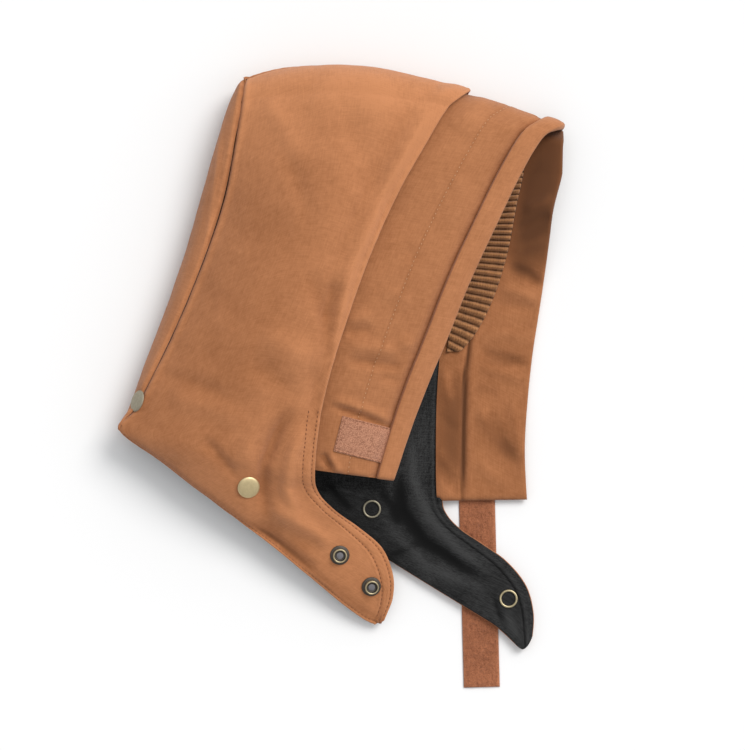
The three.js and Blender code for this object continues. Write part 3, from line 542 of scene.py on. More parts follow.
# Rows from the crown past the nape to the tip, as shares: back x and y, then front x and y.
LOWER = np.array([
    [0.390, 0.828, 0.780, 0.816], [0.379, 0.782, 0.769, 0.759], [0.370, 0.725, 0.760, 0.699],
    [0.363, 0.662, 0.749, 0.636], [0.357, 0.588, 0.740, 0.570], [0.350, 0.510, 0.731, 0.502],
    [0.343, 0.433, 0.724, 0.424], [0.334, 0.356, 0.722, 0.338], [0.323, 0.287, 0.724, 0.254],
    [0.408, 0.247, 0.735, 0.225], [0.509, 0.194, 0.767, 0.199], [0.614, 0.141, 0.816, 0.174],
    [0.704, 0.098, 0.870, 0.144], [0.785, 0.060, 0.913, 0.103], [0.850, 0.029, 0.930, 0.057],
    [0.896, 0.001, 0.926, 0.018],
]).T
# How high the caps of the snaps below hold the cloth off the table
CAP_CLEARANCE = 2.05


def lower_lift(row):
    """The throat and the neck edge ride on the caps of the snaps below."""
    t = np.clip((row - 5.8) / 1.2, 0, 1)
    return CAP_CLEARANCE * t * t * (3 - 2 * t)


def lower_point(row, w):
    """Point of the lower half, from the back seam (w = 0) to the front (w = 1)."""
    back_x, back_y, front_x, front_y = (curve(column, row) for column in LOWER)
    return spot(back_x + (front_x - back_x) * w, back_y + (front_y - back_y) * w, lower_lift(row))


# The far flap's tip: the radius of its corners, how far it lies out, and how far its end is rounded
TIP_RADIUS = 4.5
FAR_TIP_OUT = np.array([0.5, -2.8, 0])
FAR_TIP_ROUND = np.array([-0.5, -3.6, 0])


def tip_rounding(row, width, w):
    """Draw the last rows of the far flap in, so that its tip has round corners."""
    left = (TIP_ROW - row) / (TIP_ROW - NAPE_ROW) * FLAP_LENGTH
    inset = min(TIP_RADIUS - math.sqrt(TIP_RADIUS**2 - max(TIP_RADIUS - left, 0) ** 2), 0.36 * width)
    return w + (0.5 - w) * 2 * inset / width


def lower_grid(bodies, flaps, count):
    """Points of the lower half row by row, with each row's number."""
    points, rows = [], [*np.linspace(0, NAPE_ROW, bodies), *flap_stations(flaps)]
    for row in rows:
        width = reach(lower_point(np.float64(row), 0.0), lower_point(np.float64(row), 1.0))
        w = tip_rounding(row, width, spread(width, count))
        round_end = np.sin(math.pi * w)[:, None] * FAR_TIP_ROUND * fade(row, 14.0, TIP_ROW)
        tip_out = FAR_TIP_OUT * fade(row, 13.6, TIP_ROW)
        points.append(lower_point(0.0 * w + row, w) + tip_out + round_end)
    return np.array(points), np.array(rows)


lower, lower_rows = lower_grid(60, 100, 70)
lower_normals = facing(lower, -1)
left_panel = put(cloth("side_panel_left", lower, lower_normals, SHELL, rounded=("left", "right", "last")),
                 duck, "duck", "side_panel_left")

# Lining of the left side: black brushed cloth, bagged out with the duck. Two rows of sewing run beside its
# front edge, and the overlocked rim there stands up as a low ridge.

LINING_CREASES = [
    (4, 1.6, 47, -43, 50, -71, 61, -99, 82, -122, 106, -139),
    (4.5, -1.9, 40, -64, 43, -94, 58, -115, 80, -129, 103, -143),
    (4, 1.3, 26, -96, 40, -113, 59, -132, 85, -144, 104, -150), (2, -0.9, 33, -125, 43, -122, 54, -116),
    (3.5, -1.0, 26, -77, 36, -91, 41, -106), (1.2, 0.6, -6, -78, 6, -80, 19, -85),
    (3, -1.0, -13, -70, -2, -84, 8, -94), (2, -0.9, 107, -150, 110, -164, 115, -176),
    (3, 0.8, 115, -162, 120, -175, 125, -183),
]
flap_lining, flap_normals = lower[1:-1, 2:-2], lower_normals[1:-1, 2:-2]
flap_edge = edge_distances(flap_lining)
lining_folds = creases(flap_lining, LINING_CREASES) * fade(flap_edge["left"], 0, 5)
lining_lift = 1.0 + lining_folds * fade(flap_edge["right"], 4, 10)
lining_lift += 0.3 * waviness(flap_lining, 28, 5) + 0.12 * waviness(flap_lining, 9, 6)
for line, ends_at in ((3.4, 10.0), (8.0, 17.0)):
    sewn = fade(lower_rows[1:-1], 6.2, 7.0) * (1 - fade(lower_rows[1:-1], ends_at - 2, ends_at))
    lining_lift += -0.9 * hump(flap_edge["right"], line, 0.8) * sewn[:, None]
lining_lift += 0.5 * hump(flap_edge["right"], 5.7, 1.6)
lining_lift += -0.45 * hump(flap_edge["left"], 2.5, 0.8) * (lower_rows[1:-1] > NAPE_ROW)[:, None]
thin_rim = fade(flap_edge["left"], -1, 2) * fade(flap_edge["right"], -1, 2) * fade(flap_edge["last"], -1, 3)
lining_lift *= thin_rim
# Painted shade and highlight: the lining's tone follows its folds, paler on rises and darker in hollows, and
# darker still towards the throat.
throat_shade = 0.8 * fade(-flap_lining[..., 1], 60, 78) * hump(flap_lining[..., 0], 20, 30)
lining_painted_shade = 1.5 * (lining_lift - 1.0) - 0.1 - throat_shade
left_lining = put(cloth("lining_left", flap_lining, flap_normals, LINING, 0.0, -lining_lift, SHELL + GAP,
                        rounded=("left", "right", "last"), wear_and_shade=lining_painted_shade),
                  lining_black, "lining", "lining_left")

# Centre panel: a long strip of duck from the nape up the back and over the crown to the brow.
# It joins the two side panels, and rolls under at the back where the hood lies on its side.

# Rows from the crown to the nape, as shares: front edge of the face band in x, y and height, then the
# outermost line of the centre panel in x, y and height.
UPPER_EDGE = np.array([
    [0.993, 0.899, 0.24, 0.268, 0.973, 0.30], [0.953, 0.881, 0.46, 0.244, 0.933, 0.29],
    [0.897, 0.809, 0.52, 0.213, 0.857, 0.28], [0.843, 0.723, 0.54, 0.177, 0.763, 0.28],
    [0.783, 0.624, 0.52, 0.141, 0.665, 0.27], [0.735, 0.531, 0.48, 0.096, 0.567, 0.26],
    [0.688, 0.445, 0.43, 0.052, 0.479, 0.25], [0.655, 0.378, 0.38, 0.020, 0.411, 0.24],
    [0.614, 0.285, 0.32, -0.002, 0.373, 0.23],
]).T
# How much of the way to the lower seam it takes to roll under, and how far the neck edge sags, by the height
UNDER_SHARE = 0.15
HEM_SAG = 0.024


def along_line(values, stops, at):
    """Values of a table with three columns at this distance, or these distances, along its stops."""
    return np.stack([np.interp(at, stops, values[:, k]) for k in range(3)], -1)


def centre_section(upper_seam, rim, lower_seam, count):
    """Across the centre panel: over the outermost line, under it and along the table."""
    under = rim + (lower_seam - rim) * UNDER_SHARE
    under[2] = lower_seam[2]
    over = rolled(rim, upper_seam, np.linspace(90, 0, 16)) if reach(upper_seam, rim) > 0.5 else rim[None]
    below = rolled(rim, under, np.linspace(0, 90, 16))[1:]
    flat = under + (lower_seam - under) * np.linspace(0, 1, 12)[1:, None]
    line = np.concatenate([over, below, flat])
    length = np.concatenate([[0], np.cumsum(reach(line[:-1], line[1:]))])
    at = spread(length[-1], count) * length[-1]
    return along_line(line, length, at)


def stations(count):
    """Stations of the centre panel, from the nape up the back and along the crown to the face band."""
    made = []
    for row in np.linspace(NAPE_ROW, 1, 105):
        rim = spot(*(curve(UPPER_EDGE[k], row) for k in (3, 4)), curve(UPPER_EDGE[5], row) * LOFT)
        made.append(centre_section(upper_point(row, 0.0), rim, lower_point(row, 0.0), count))
    for fold in np.linspace(1, 0, 14)[1:]:
        at = 1 - math.cos(math.radians(crown_turn(fold, 0.0)))
        rim = spot(*(curve(UPPER_EDGE[k], at) for k in (3, 4)), curve(UPPER_EDGE[5], at) * LOFT)
        seam = rolled(upper_point(0.0, 0.0), upper_point(1.0, 0.0), np.array(crown_turn(fold, 0.0)))
        made.append(centre_section(seam, rim, lower_point(np.float64(fold), 0.0), count))
    for w in np.linspace(0, 1, 76)[1:]:
        low, high = upper_point(0.0, w), upper_point(1.0, w)
        seam = rolled(low, high, np.array(crown_turn(0, w)))
        rim = rolled(low, high, np.array(min(crown_turn(0, w), 0)))
        made.append(centre_section(seam, rim, lower_point(0.0, w), count))
    return np.array(made)


CENTRE_COLUMNS = 44
centre = stations(CENTRE_COLUMNS)
sag = np.exp(-(((np.arange(centre.shape[1]) - centre.shape[1] * 0.36) / (centre.shape[1] * 0.13)) ** 2))
centre[:, :, 1] -= (HEM_SAG * HOOD_HEIGHT * np.clip(1 - np.arange(len(centre)) / 7, 0, 1) ** 2)[:, None] * sag
for _ in range(6):
    centre[1:-1, 1:-1] = (centre[:-2, 1:-1] + 2 * centre[1:-1, 1:-1] + centre[2:, 1:-1]) / 4
centre_normals = smooth_facing(facing(centre), 4)


def flatten_round(points, x, y, way, radius):
    """Press the cloth flat under a snap. Gives the snap's seat and how much each point is pressed."""
    gap = np.where(points[..., 2] > 9, np.hypot(points[..., 0] - x, points[..., 1] - y), 1e9)
    seat = points[np.unravel_index(np.argmin(gap), gap.shape)] - np.array([0, 0, 0.8])
    away = points - seat
    near = 1 - fade(np.linalg.norm(away, axis=-1), radius, radius + 3)
    share = near * fade(edge_distances(points)["left"], 0.5, 3.5)
    points -= (share * (away @ way))[..., None] * way
    return seat, share


BACK_SNAP_AT = (-140.8, -16.4)
BACK_SNAP_WAY = np.array([-0.785, 0.284, 0.55])
back_seat, back_pressed = flatten_round(centre, *BACK_SNAP_AT, BACK_SNAP_WAY, radius=6.5)
centre_edge = edge_distances(centre)
side = centre_edge["left"]
centre_lift = 0.4 * waviness(centre, 40, 8) + 0.16 * waviness(centre, 12, 9)
dive = 1 - 0.75 * (centre[:, :1, 1] < 90)
centre_puckers = 0.1 * seam_puckers(side, centre_edge["first"], 8)
centre_lift += -1.0 * dive * hump(side, 0, 1.2) + 0.6 * hump(side, 3.0, 1.8) + centre_puckers
STRIP_CREASES = [
    (1.5, 1.1, -80, 186, -83, 168, -87, 133, -91, 105, -95, 89),
    (1.2, 0.6, -140, -14, -147, -24, -152, -32), (1.2, 0.6, -136, -16, -142, -26, -147, -35),
]
neck_groove = 0.3 * hump(centre_edge["first"], 2.6, 0.8)
centre_lift += creases(centre, STRIP_CREASES) * (centre[..., 2] > 8) - neck_groove
centre_lift *= np.clip(centre[..., 2] / 6, 0, 1) * (1 - back_pressed)
centre_cloth = put(cloth("centre_panel", centre, centre_normals, SHELL, centre_lift, centre_lift * 0.4,
                         rounded=("first",)), duck, "duck", "centre_panel")
inner_points, inner_normals = inside(centre, centre_normals, first=4, last=6, left=1, right=1)
centre_lining = put(cloth("lining_centre", inner_points, inner_normals, LINING, depth=SHELL + GAP,
                          rounded=("first",)), lining_black, "lining", "lining_centre")

# Face band: doubled duck round the face opening, one length from the right front over the brow to the left.
# Its back edge is sewn under the side panels. In front of the crease the cloth turns in as a padded edge.

# Thickness of the doubled cloth, and how far it laps under the panels
BAND = 3.0
LAP = 4.0
# How far it bulges on the near side, by the loft, and how soon it settles on the far side
BAND_CROWN = 0.05
BAND_SETTLE = 4
# Where the stitches and the crease run, as shares of its width
STITCH_SHARE = 0.41
CREASE_SHARE = 0.79
# How far the brow curls up, lies out and drops at its edge, and how far the ends drop at the throat
BROW_CURL = 15
BROW_OUT = np.array([2.2, 0.4])
BROW_DROP = 1.8
THROAT_DROP = 2.0

# The band's front edge where it lies on the table, as shares: x and y of rows from the crown to the nape.
LOWER_EDGE = np.array([
    [0.987, 0.816], [0.975, 0.763], [0.966, 0.703], [0.955, 0.639], [0.942, 0.572],
    [0.928, 0.503], [0.917, 0.424], [0.910, 0.338], [0.915, 0.256],
]).T


def edge_point(row):
    """Point of the band's front edge on the near side."""
    return spot(*(curve(UPPER_EDGE[k], row) for k in (0, 1)), curve(UPPER_EDGE[2], row) * LOFT)


def lower_edge_point(row):
    """Point of the band's front edge on the far side."""
    return spot(curve(LOWER_EDGE[0], row), curve(LOWER_EDGE[1], row), lower_lift(row))


def band_stops():
    """Along the band: seam point, its normal, the way in under the panel, front edge and how flat it lies."""
    seams, normals, inward, edges, flat, rows = [], [], [], [], [], []
    nape = int(np.argmin(np.abs(upper_rows - NAPE_ROW)))
    for i in range(nape, -1, -1):
        fold = upper_rows[i]
        seams.append(upper[i, -1])
        normals.append(upper_normals[i, -3])
        inward.append(upper[i, -9] - upper[i, -1])
        if fold >= 1:
            edges.append(edge_point(fold))
        else:
            edges.append(rolled(edge_point(0.0), edge_point(1.0), np.array(crown_turn(fold, 1.0))))
        flat.append(0.0)
        rows.append(-fold)
    over = centre[-1]
    brow = edges[-1]
    front = centre_section(brow, brow, lower_edge_point(0.0), CENTRE_COLUMNS)
    length = np.cumsum(np.pad(reach(over[:-1], over[1:]), (1, 0)))
    for c in range(1, len(over)):
        seams.append(over[c])
        normals.append(centre_normals[-2, c])
        inward.append(centre[-5, c] - over[c])
        edges.append(front[c])
        flat.append(min(1.0, length[c] / (length[-1] * 0.45)) ** 2)
        rows.append(0.0)
    for row in np.linspace(0, NAPE_ROW, 100)[1:]:
        seams.append(lower_point(row, 1.0))
        normals.append(np.array([0, 0, -1.0]))
        inward.append(lower_point(row, 0.9) - lower_point(row, 1.0))
        edges.append(lower_edge_point(row))
        flat.append(1.0)
        rows.append(row)
    return [np.array(v) for v in (seams, normals, inward, edges, flat, rows)]


seams, seam_normals, seam_inward, seam_edges, seam_flat, band_rows = band_stops()
seam_inward /= np.linalg.norm(seam_inward, axis=-1, keepdims=True)
to_crease = np.linspace(0.02, CREASE_SHARE, 30)[:-1]
across = np.concatenate([[0, 0.004], to_crease, CREASE_SHARE - np.array([0.02, 0.008, 0.0])])
past_crease = CREASE_SHARE + np.array([0.0, 0.008, 0.02])
to_edge = np.linspace(CREASE_SHARE + 0.035, 0.965, 8)
front_across = np.concatenate([past_crease, to_edge, 1 - np.array([0.022, 0.012, 0.005, 0.0015, 0.0])])


def band_grid(shares, tucked):
    """Points of the band at these shares of its width. Tucked adds the lap under the side panels."""
    level = seams - seam_normals * (SHELL + GAP)
    lines = [level + seam_inward * LAP, level + seam_inward * LAP * 0.5] if tucked else []
    for share in shares:
        p = level + (seam_edges - level) * share
        crowned = (band_rows <= -1) * BAND_CROWN * LOFT * 4 * share * (1 - share)
        settled = level[:, 2] + (seam_edges[:, 2] - level[:, 2]) * (1 - (1 - share) ** BAND_SETTLE)
        p[:, 2] = (p[:, 2] + crowned) * (1 - seam_flat) + settled * seam_flat
        p[:, 2] += BROW_CURL * seam_flat * (1 - fade(band_rows, 0.8, 3.8)) * share**1.3
        p[:, :2] += BROW_OUT * (share * (1 - fade(np.abs(band_rows), 0, 1.6)))[:, None]
        brow_drop = BROW_DROP * share**4 * (1 - fade(np.abs(band_rows), 0.2, 1.4))
        p[:, 1] -= THROAT_DROP * fade(band_rows, 7, NAPE_ROW) + brow_drop
        lines.append(p)
    made = np.stack(lines, 1)
    for _ in range(5):
        made[1:-1] = (made[:-2] + 2 * made[1:-1] + made[2:]) / 4
    return made


band = band_grid(across, True)
front_band = band_grid(front_across, False)
whole = facing(np.concatenate([band, front_band[:, 1:]], 1), -1)
band_normals, front_normals = whole[:, :band.shape[1]], whole[:, band.shape[1] - 1:]
right_side = fade(-band_rows, -0.05, 0.3)[:, None]
left_side = fade(band_rows, -0.1, 1.5)[:, None]

# Folds of the band's near side
BAND_CREASES = [
    (3.5, 0.9, 4, 40, 22, 43), (3.5, -1.2, 4, 31, 23, 33), (3.5, 0.9, 3, 22, 22, 21, 43, 18),
    (3.5, -1.3, 4, 12, 22, 10, 44, 7), (2.0, -1.7, -8, -20, 6, -24, 20, -29, 38, -37),
    (2.4, 1.0, -8, -14, 6, -18, 21, -23, 39, -31), (2.4, -2.0, -13, -53, -9, -60, -6, -66),
    (2.4, 1.1, -8, -52, -4, -60, 0, -66), (4, 0.9, 40, 23, 52, 24), (9, 0.9, 84, 168, 92, 186, 104, 194),
    (6, 0.5, 76, 148, 86, 128, 74, 104), (3, -0.8, -5, 35, 4, 33), (3, -0.7, 26, 1, 42, -3),
    (5, -0.6, 41, 89, 59, 81), (5, 0.5, 27, 61, 50, 54),
]
# Folds of the band's far side, which shows its inner face. The last two are the edge of its inner turning.
FACING_CREASES = [
    (4, 1.6, 150, 127, 141, 122, 129, 119), (3.5, -1.6, 148, 115, 136, 109, 124, 103),
    (4, 1.2, 146, 99, 132, 94, 120, 89), (3.6, -2.0, 143, 64, 131, 74, 117, 80),
    (4.5, 1.8, 142, 53, 127, 60, 111, 64), (3.4, -0.9, 139, 46, 122, 50, 106, 51),
    (4, 1.0, 136, 28, 115, 31, 97, 29), (3.4, -2.0, 133, 8, 115, 14, 96, 19),
    (3.5, 1.3, 132, -2, 115, 3, 96, 8), (3.4, -0.9, 111, -11, 93, -9),
    (4, 1.6, 95, -17, 104, -34, 113, -48), (4.5, -2.2, 101, -24, 113, -45, 125, -64),
    (4, 1.0, 120, -13, 124, -37, 127, -57), (4, 0.9, 90, -52, 104, -67, 118, -76),
    (3, 1.0, 73, 8, 74, -9, 78, -23), (3, -0.9, 68, -24, 75, -32, 84, -37),
    (3, 1.0, 68, -49, 74, -59, 84, -70), (2.6, -1.1, 67, -59, 73, -69, 83, -83),
    (2.6, 0.9, 67, -69, 71, -77, 78, -84),
    (1.1, -2.4, 94, 46, 90, 23, 87, 2, 86, -33, 85, -95),
    (2.6, 0.7, 98, 46, 94, 23, 92, 2, 90, -33, 90, -95),
]
band_edge, front_edge = edge_distances(band), edge_distances(front_band)
stitch_line = (band_edge["left"] - LAP) / np.maximum(band_edge["left"][:, -1:] - LAP, 1) * CREASE_SHARE
row_width = (band_edge["left"][:, -1:] - LAP) / CREASE_SHARE
from_stitch = (stitch_line - STITCH_SHARE) * row_width
band_lift = 0.35 * waviness(band, 34, 11) + 0.14 * waviness(band, 11, 12)
seam_dip = np.exp(-(((band_edge["left"] - LAP) / 9) ** 2))
band_folds = creases(band, BAND_CREASES)
outer_band = band_lift - 1.9 * seam_dip - 0.4 * hump(from_stitch, 0, 0.9) + band_folds
outer_band += (0.8 * band_folds + 0.2 * hump(from_stitch, 3, 2) + 0.2 * hump(from_stitch, -3, 2)
               - 2.6 * hump(band_edge["right"], 0, 4.0))
# Painted shade on the near side: darker in the stitch groove, along the crease in front, beside the seam and
# in the hollows of the folds, paler on their rises.
band_painted_shade = (-0.8 * hump(from_stitch, 0, 0.9) - 1.7 * hump(band_edge["right"], 0, 2.4) - 0.5 * seam_dip
             + 0.45 * band_folds)
inner_band = 1.2 + np.maximum(1.15 * creases(band, FACING_CREASES), -3.0)

# Painted shade of the far side, where the near side and the folds keep the light out, with a little painted
# light, given as creases of tone alone
FAR_SHADE = [
    (19, -1.9, 150, 215, 150, 170, 146, 135, 141, 105, 136, 70),
    (13, -0.8, 130, 165, 131, 125, 128, 92, 124, 62), (5, -0.6, 119, 79, 130, 74, 143, 66),
    (11, 0.4, 114, 42, 126, 47, 140, 55), (5, -0.4, 98, 12, 113, 11, 132, 15),
    (5, -0.6, 96, -25, 108, -42, 122, -59), (8, -0.3, 122, -14, 125, -44, 124, -74),
    (12, -1.1, 78, 8, 78, -20, 77, -52, 76, -82), (3.5, 0.5, 73, 4, 77, -8, 79, -16),
    (3.5, 0.5, 70, -62, 76, -70, 81, -80),
]


def far_painted_shade(points):
    """Painted shade of the far side of the band and of its turned edge, darker towards the bottom."""
    shade = creases(points, FAR_SHADE)
    return -0.6 - 0.3 * fade(-points[..., 1], -60, 10) + shade + 0.2 * creases(points, FACING_CREASES)


# Where the band faces down on the far side, it takes the far side's painted shade instead of the near side's.
underneath = fade(-band_normals[..., 2], -0.35, 0.2)
step_shade = -1.8 * hump(creases(band, FACING_CREASES[-2:-1]), -2.4, 1.4)
band_tone_and_shade = (1 - underneath) * band_painted_shade + underneath * (far_painted_shade(band) + step_shade)
band_duck = fabric("doubled duck", (0.27, 0.099, 0.035), (0.49, 0.203, 0.086))
band_cloth = put(cloth("face_band", band, band_normals, BAND, outer_band * right_side,
                       -inner_band * left_side, rounded=("first", "last"), wear_and_shade=band_tone_and_shade),
                 band_duck, "band_duck", "face_band")

# The turned edge in front of the crease is puffed between the crease and its end.
over_edge = np.clip(front_edge["left"] / np.maximum(front_edge["left"][:, -1:], 1), 0, 1)
puff = 1.5 * np.sin(over_edge * math.pi) ** 0.7
front_lift = 1.3 + 0.8 * puff - 0.5 * hump(front_edge["left"], 0, 0.8) + 0.25 * waviness(front_band, 16, 14)
front_fold = 1.2 + np.maximum(1.15 * creases(front_band, FACING_CREASES), -3.0)
# The turned edge has an even tone on the near side and the far side's painted shade where it faces down.
edge_tone_and_shade = 0.45 + fade(-front_normals[..., 2], -0.35, 0.2) * (far_painted_shade(front_band) - 0.45)
edge_cloth = put(cloth("edge_facing", front_band, front_normals, BAND, front_lift * right_side,
                       -front_fold * left_side, rounded=("right", "first", "last"), wear_and_shade=edge_tone_and_shade),
                 band_duck, "band_duck", "edge_facing")

# Knit cuff: a tube of brown rib knit inside the face band that keeps draughts off the face.
# Its ribs run towards the face. It is widest beside the eyes, and is sewn in along its back edge.

# The row at which the cuff ends on both sides, its widest share of the band, how bluntly its ends close, the
# thickness of the knit and the depth of its ribs, and how deep it lies under the band's outer face
CUFF_END_ROW = 5.05
CUFF_WIDTH_SHARE = 0.61
CUFF_ROUND = 2.5
KNIT = 3.2
RIB_DEPTH = 1.2
CUFF_DEPTH = BAND + 2.6 * GAP + 0.9
# The ribs stand closer at the brow than down at the cheek: pitch by share of the way along the cuff.
RIB_STOPS, RIB_PITCHES = (0.0, 0.29, 0.36, 0.42, 0.475), (3.6, 3.7, 4.2, 4.8, 5.7)

knit = fabric("rib knit", (0.062, 0.023, 0.007), (0.50, 0.228, 0.088), 14.0, 0.0003, 1.0, 0.95, 0.2)


def cuff_grid():
    """Points and normals of the cuff in rows across it, and how far along the cuff each row lies."""
    inner = np.concatenate([band[:, 2:], front_band[:, 1:]], 1)
    out = np.concatenate([band_normals[:, 2:], front_normals[:, 1:]], 1)
    shares = np.concatenate([across, front_across[1:]])
    middle = inner[:, 12]
    length = np.concatenate([[0], np.cumsum(reach(middle[:-1], middle[1:]))])
    cheek = np.where((np.abs(band_rows) > 0) & (np.abs(band_rows) < CUFF_END_ROW * 0.985))[0]
    start, end = length[cheek[0]], length[cheek[-1]]
    brow = (start + end) / 2
    at = np.concatenate([np.linspace(start, brow, 240, endpoint=False), np.linspace(brow, end, 540)])
    position = np.interp(at, length, np.arange(len(length)))
    whole, part = np.floor(position).astype(int), position % 1
    whole = np.minimum(whole, len(length) - 2)
    points = inner[whole] * (1 - part)[:, None, None] + inner[whole + 1] * part[:, None, None]
    normals = out[whole] * (1 - part)[:, None, None] + out[whole + 1] * part[:, None, None]
    row = np.interp(position, np.arange(len(band_rows)), np.abs(band_rows))
    width = CUFF_WIDTH_SHARE * np.sqrt(1 - np.minimum(row / CUFF_END_ROW, 1) ** CUFF_ROUND)
    cross = np.concatenate([np.linspace(0.02, 0.94, 56), [0.965, 0.985, 0.995, 1.0]])
    made, facing_out = [], []
    for p, n, w in zip(points, normals, width):
        made.append(along_line(p, shares, w * cross))
        facing_out.append(along_line(n, shares, w * cross))
    facing_out = np.array(facing_out)
    return np.array(made), facing_out / np.linalg.norm(facing_out, axis=-1, keepdims=True), at - at[0]


cuff, cuff_normals, cuff_length = cuff_grid()
cuff_edge = edge_distances(cuff)
run = cuff_length / cuff_length[-1]
far_slope = np.interp(run, [0.5, 0.66, 0.785, 0.85, 0.925, 1.0], [-0.1, -0.08, 0.0, 0.08, 0.25, 0.5])
fall = (cuff[:, -1, 1] - cuff[:, 0, 1]) / np.maximum(cuff[:, -1, 0] - cuff[:, 0, 0], 8)
slant = np.pad(np.clip(far_slope + fall, -0.8, 1), 20, mode="edge")
slant = np.convolve(slant, np.full(41, 1 / 41), mode="valid")
slant = np.where(run < 0.5, slant[::-1], slant)[:, None]
pitch = np.interp(np.abs(run - 0.5), RIB_STOPS, RIB_PITCHES)
ribs_before = np.cumsum(np.gradient(cuff_length) / pitch)[:, None]
rib_phase = ribs_before - np.sign(run - 0.5)[:, None] * slant * cuff_edge["left"] / pitch[:, None]
rib = 0.5 + 0.5 * np.cos(rib_phase * math.tau)
plait = np.sin((cuff_edge["left"] + 0.9 * np.abs(np.sin(rib_phase * math.pi))) * math.tau / 1.9)
cuff_height = 2.5 * (rib**0.8 - 0.6) + 0.16 * plait * rib + 0.25 * waviness(cuff, 14, 21)
cuff_height += 0.5 * hump(cuff_edge["right"], 3, 3)
# Painted shade and highlight: the knit is darker in the valleys between its ribs and paler on their crests.
cuff_rib_shade = 1.5 * (rib - 0.45) - 0.75 * np.cos(2 * rib_phase * math.tau) + 0.4 * plait * rib
cuff_uv = np.stack([cuff_edge["left"], np.broadcast_to(cuff_length[:, None], cuff.shape[:2])], -1)
cuff_cloth = put(cloth("knit_cuff", cuff, cuff_normals, KNIT - RIB_DEPTH, cuff_height * 0.3, -cuff_height,
                       CUFF_DEPTH, rounded=("right", "first", "last"), wear_and_shade=cuff_rib_shade, uv=cuff_uv),
                 knit, "rib_knit", "knit_cuff")

# Sewing: fine brown thread in short even stitches, pulled down into the cloth.
# Double rows follow the throat flap's front edge, and single rows the hem and the middle of the face band.

thread_brown = fabric("brown thread", (0.12, 0.040, 0.014), (0.26, 0.095, 0.036), 30.0, 0.0001, 0.5)
thread_tan = fabric("tan thread", (0.40, 0.19, 0.09), (0.60, 0.35, 0.19), 30.0, 0.0001, 0.5)


def stitches(name, line, normals, material, slot, pitch=3.2, length=2.3, radius=0.24, sink=0.05):
    """A row of stitches along a line on the cloth: one small spindle for each, with pointed ends."""
    run = np.concatenate([[0], np.cumsum(reach(line[:-1], line[1:]))])
    starts = np.arange(pitch / 2, run[-1] - length, pitch)
    vertices, faces = [], []
    for start in starts:
        a, b = along_line(line, run, start), along_line(line, run, start + length)
        up = along_line(normals, run, start)
        along = (b - a) / max(reach(a, b), 1e-6)
        side_way = np.cross(along, up)
        side_way /= np.linalg.norm(side_way)
        first = len(vertices)
        for t, wide in ((0, 0.35), (0.18, 0.85), (0.5, 1.0), (0.82, 0.85), (1, 0.35)):
            middle = a + (b - a) * t + up * (math.sin(t * math.pi) * radius * 1.1 - sink - radius * 0.6)
            for k in range(6):
                turn = k * math.tau / 6
                vertices.append(middle + radius * wide * (side_way * math.cos(turn) + up * math.sin(turn)))
        for ring in range(4):
            for k in range(6):
                p, q = first + ring * 6 + k, first + ring * 6 + (k + 1) % 6
                faces.append((p, q, q + 6, p + 6))
        faces.append(tuple(first + k for k in range(5, -1, -1)))
        faces.append(tuple(first + 24 + k for k in range(6)))
    mesh = bpy.data.meshes.new(name)
    mesh.from_pydata((np.array(vertices) * MM).tolist(), [], faces)
    mesh.uv_layers.new(name="cloth")
    return put(mesh, material, slot)


def inset_line(points, normals, lift, distance, inset):
    """The line on a cloth that keeps this distance from one of its edges, row by row."""
    line, up = [], []
    for p, n, d in zip(points + normals * lift[..., None], normals, distance):
        order = np.argsort(d)
        line.append(along_line(p[order], d[order], inset))
        up.append(along_line(n[order], d[order], inset))
    return np.array(line), np.array(up)


flap_rows = upper_rows > 6.75
for number, (inset, left_off) in enumerate(zip(FLAP_STITCH_ROWS, (9, 13))):
    line, up = inset_line(upper, upper_normals, upper_lift, upper_edge["right"], inset)
    stitches(f"flap_topstitch_{number}", line[flap_rows][:-left_off], up[flap_rows][:-left_off],
             thread_brown, "duck", pitch=3.1, length=2.1, radius=0.36, sink=0.0)
line, up = inset_line(upper, upper_normals, upper_lift, upper_edge["left"], 2.6)
hem_rows = upper_rows >= NAPE_ROW
stitches("hem_stitch", line[hem_rows][:-3], up[hem_rows][:-3], thread_brown, "duck", pitch=3.0, length=2.2)
line, up = inset_line(band, band_normals, outer_band, np.abs(from_stitch), 0)
near_side = band_rows < -0.1
stitches("band_stitch", line[near_side], up[near_side], thread_tan, "band_duck",
         pitch=3.3, length=1.5, radius=0.30, sink=0.0)

# Chin strap: a straight length of pile tape with woven edges, sewn under the left front and hanging out.
# The patch on the face band is the hook tape that it closes on, sewn down all round.

# Size of the strap, how it is turned, and where the middle of its top and its upper face lie
TAPE_WIDTH = 25.4
STRAP_LENGTH = 161
STRAP_TURN = math.radians(-88.5)
STRAP_TOP = (0.800, 0.321)
STRAP_HEIGHT = 1.75

pile = fabric("pile tape", (0.178, 0.053, 0.020), (0.50, 0.180, 0.078), threads=20.0, weave_depth=0.0006,
              strength=0.9, roughness=1.0, sheen=0.3, grain_share=1.0, flecks=(15.0, 0.7))
hooks = fabric("hook tape", (0.25, 0.10, 0.055), (0.60, 0.29, 0.175), threads=9.0, weave_depth=0.0005,
               strength=0.6, roughness=0.8, sheen=0.2, grain_share=0.8, flecks=(13.0, 1.0))


def tape_steps(length, edge, middle):
    """Distances along or across a tape, closer together beside both edges."""
    return np.concatenate([edge, middle, length - np.array(edge[::-1])])


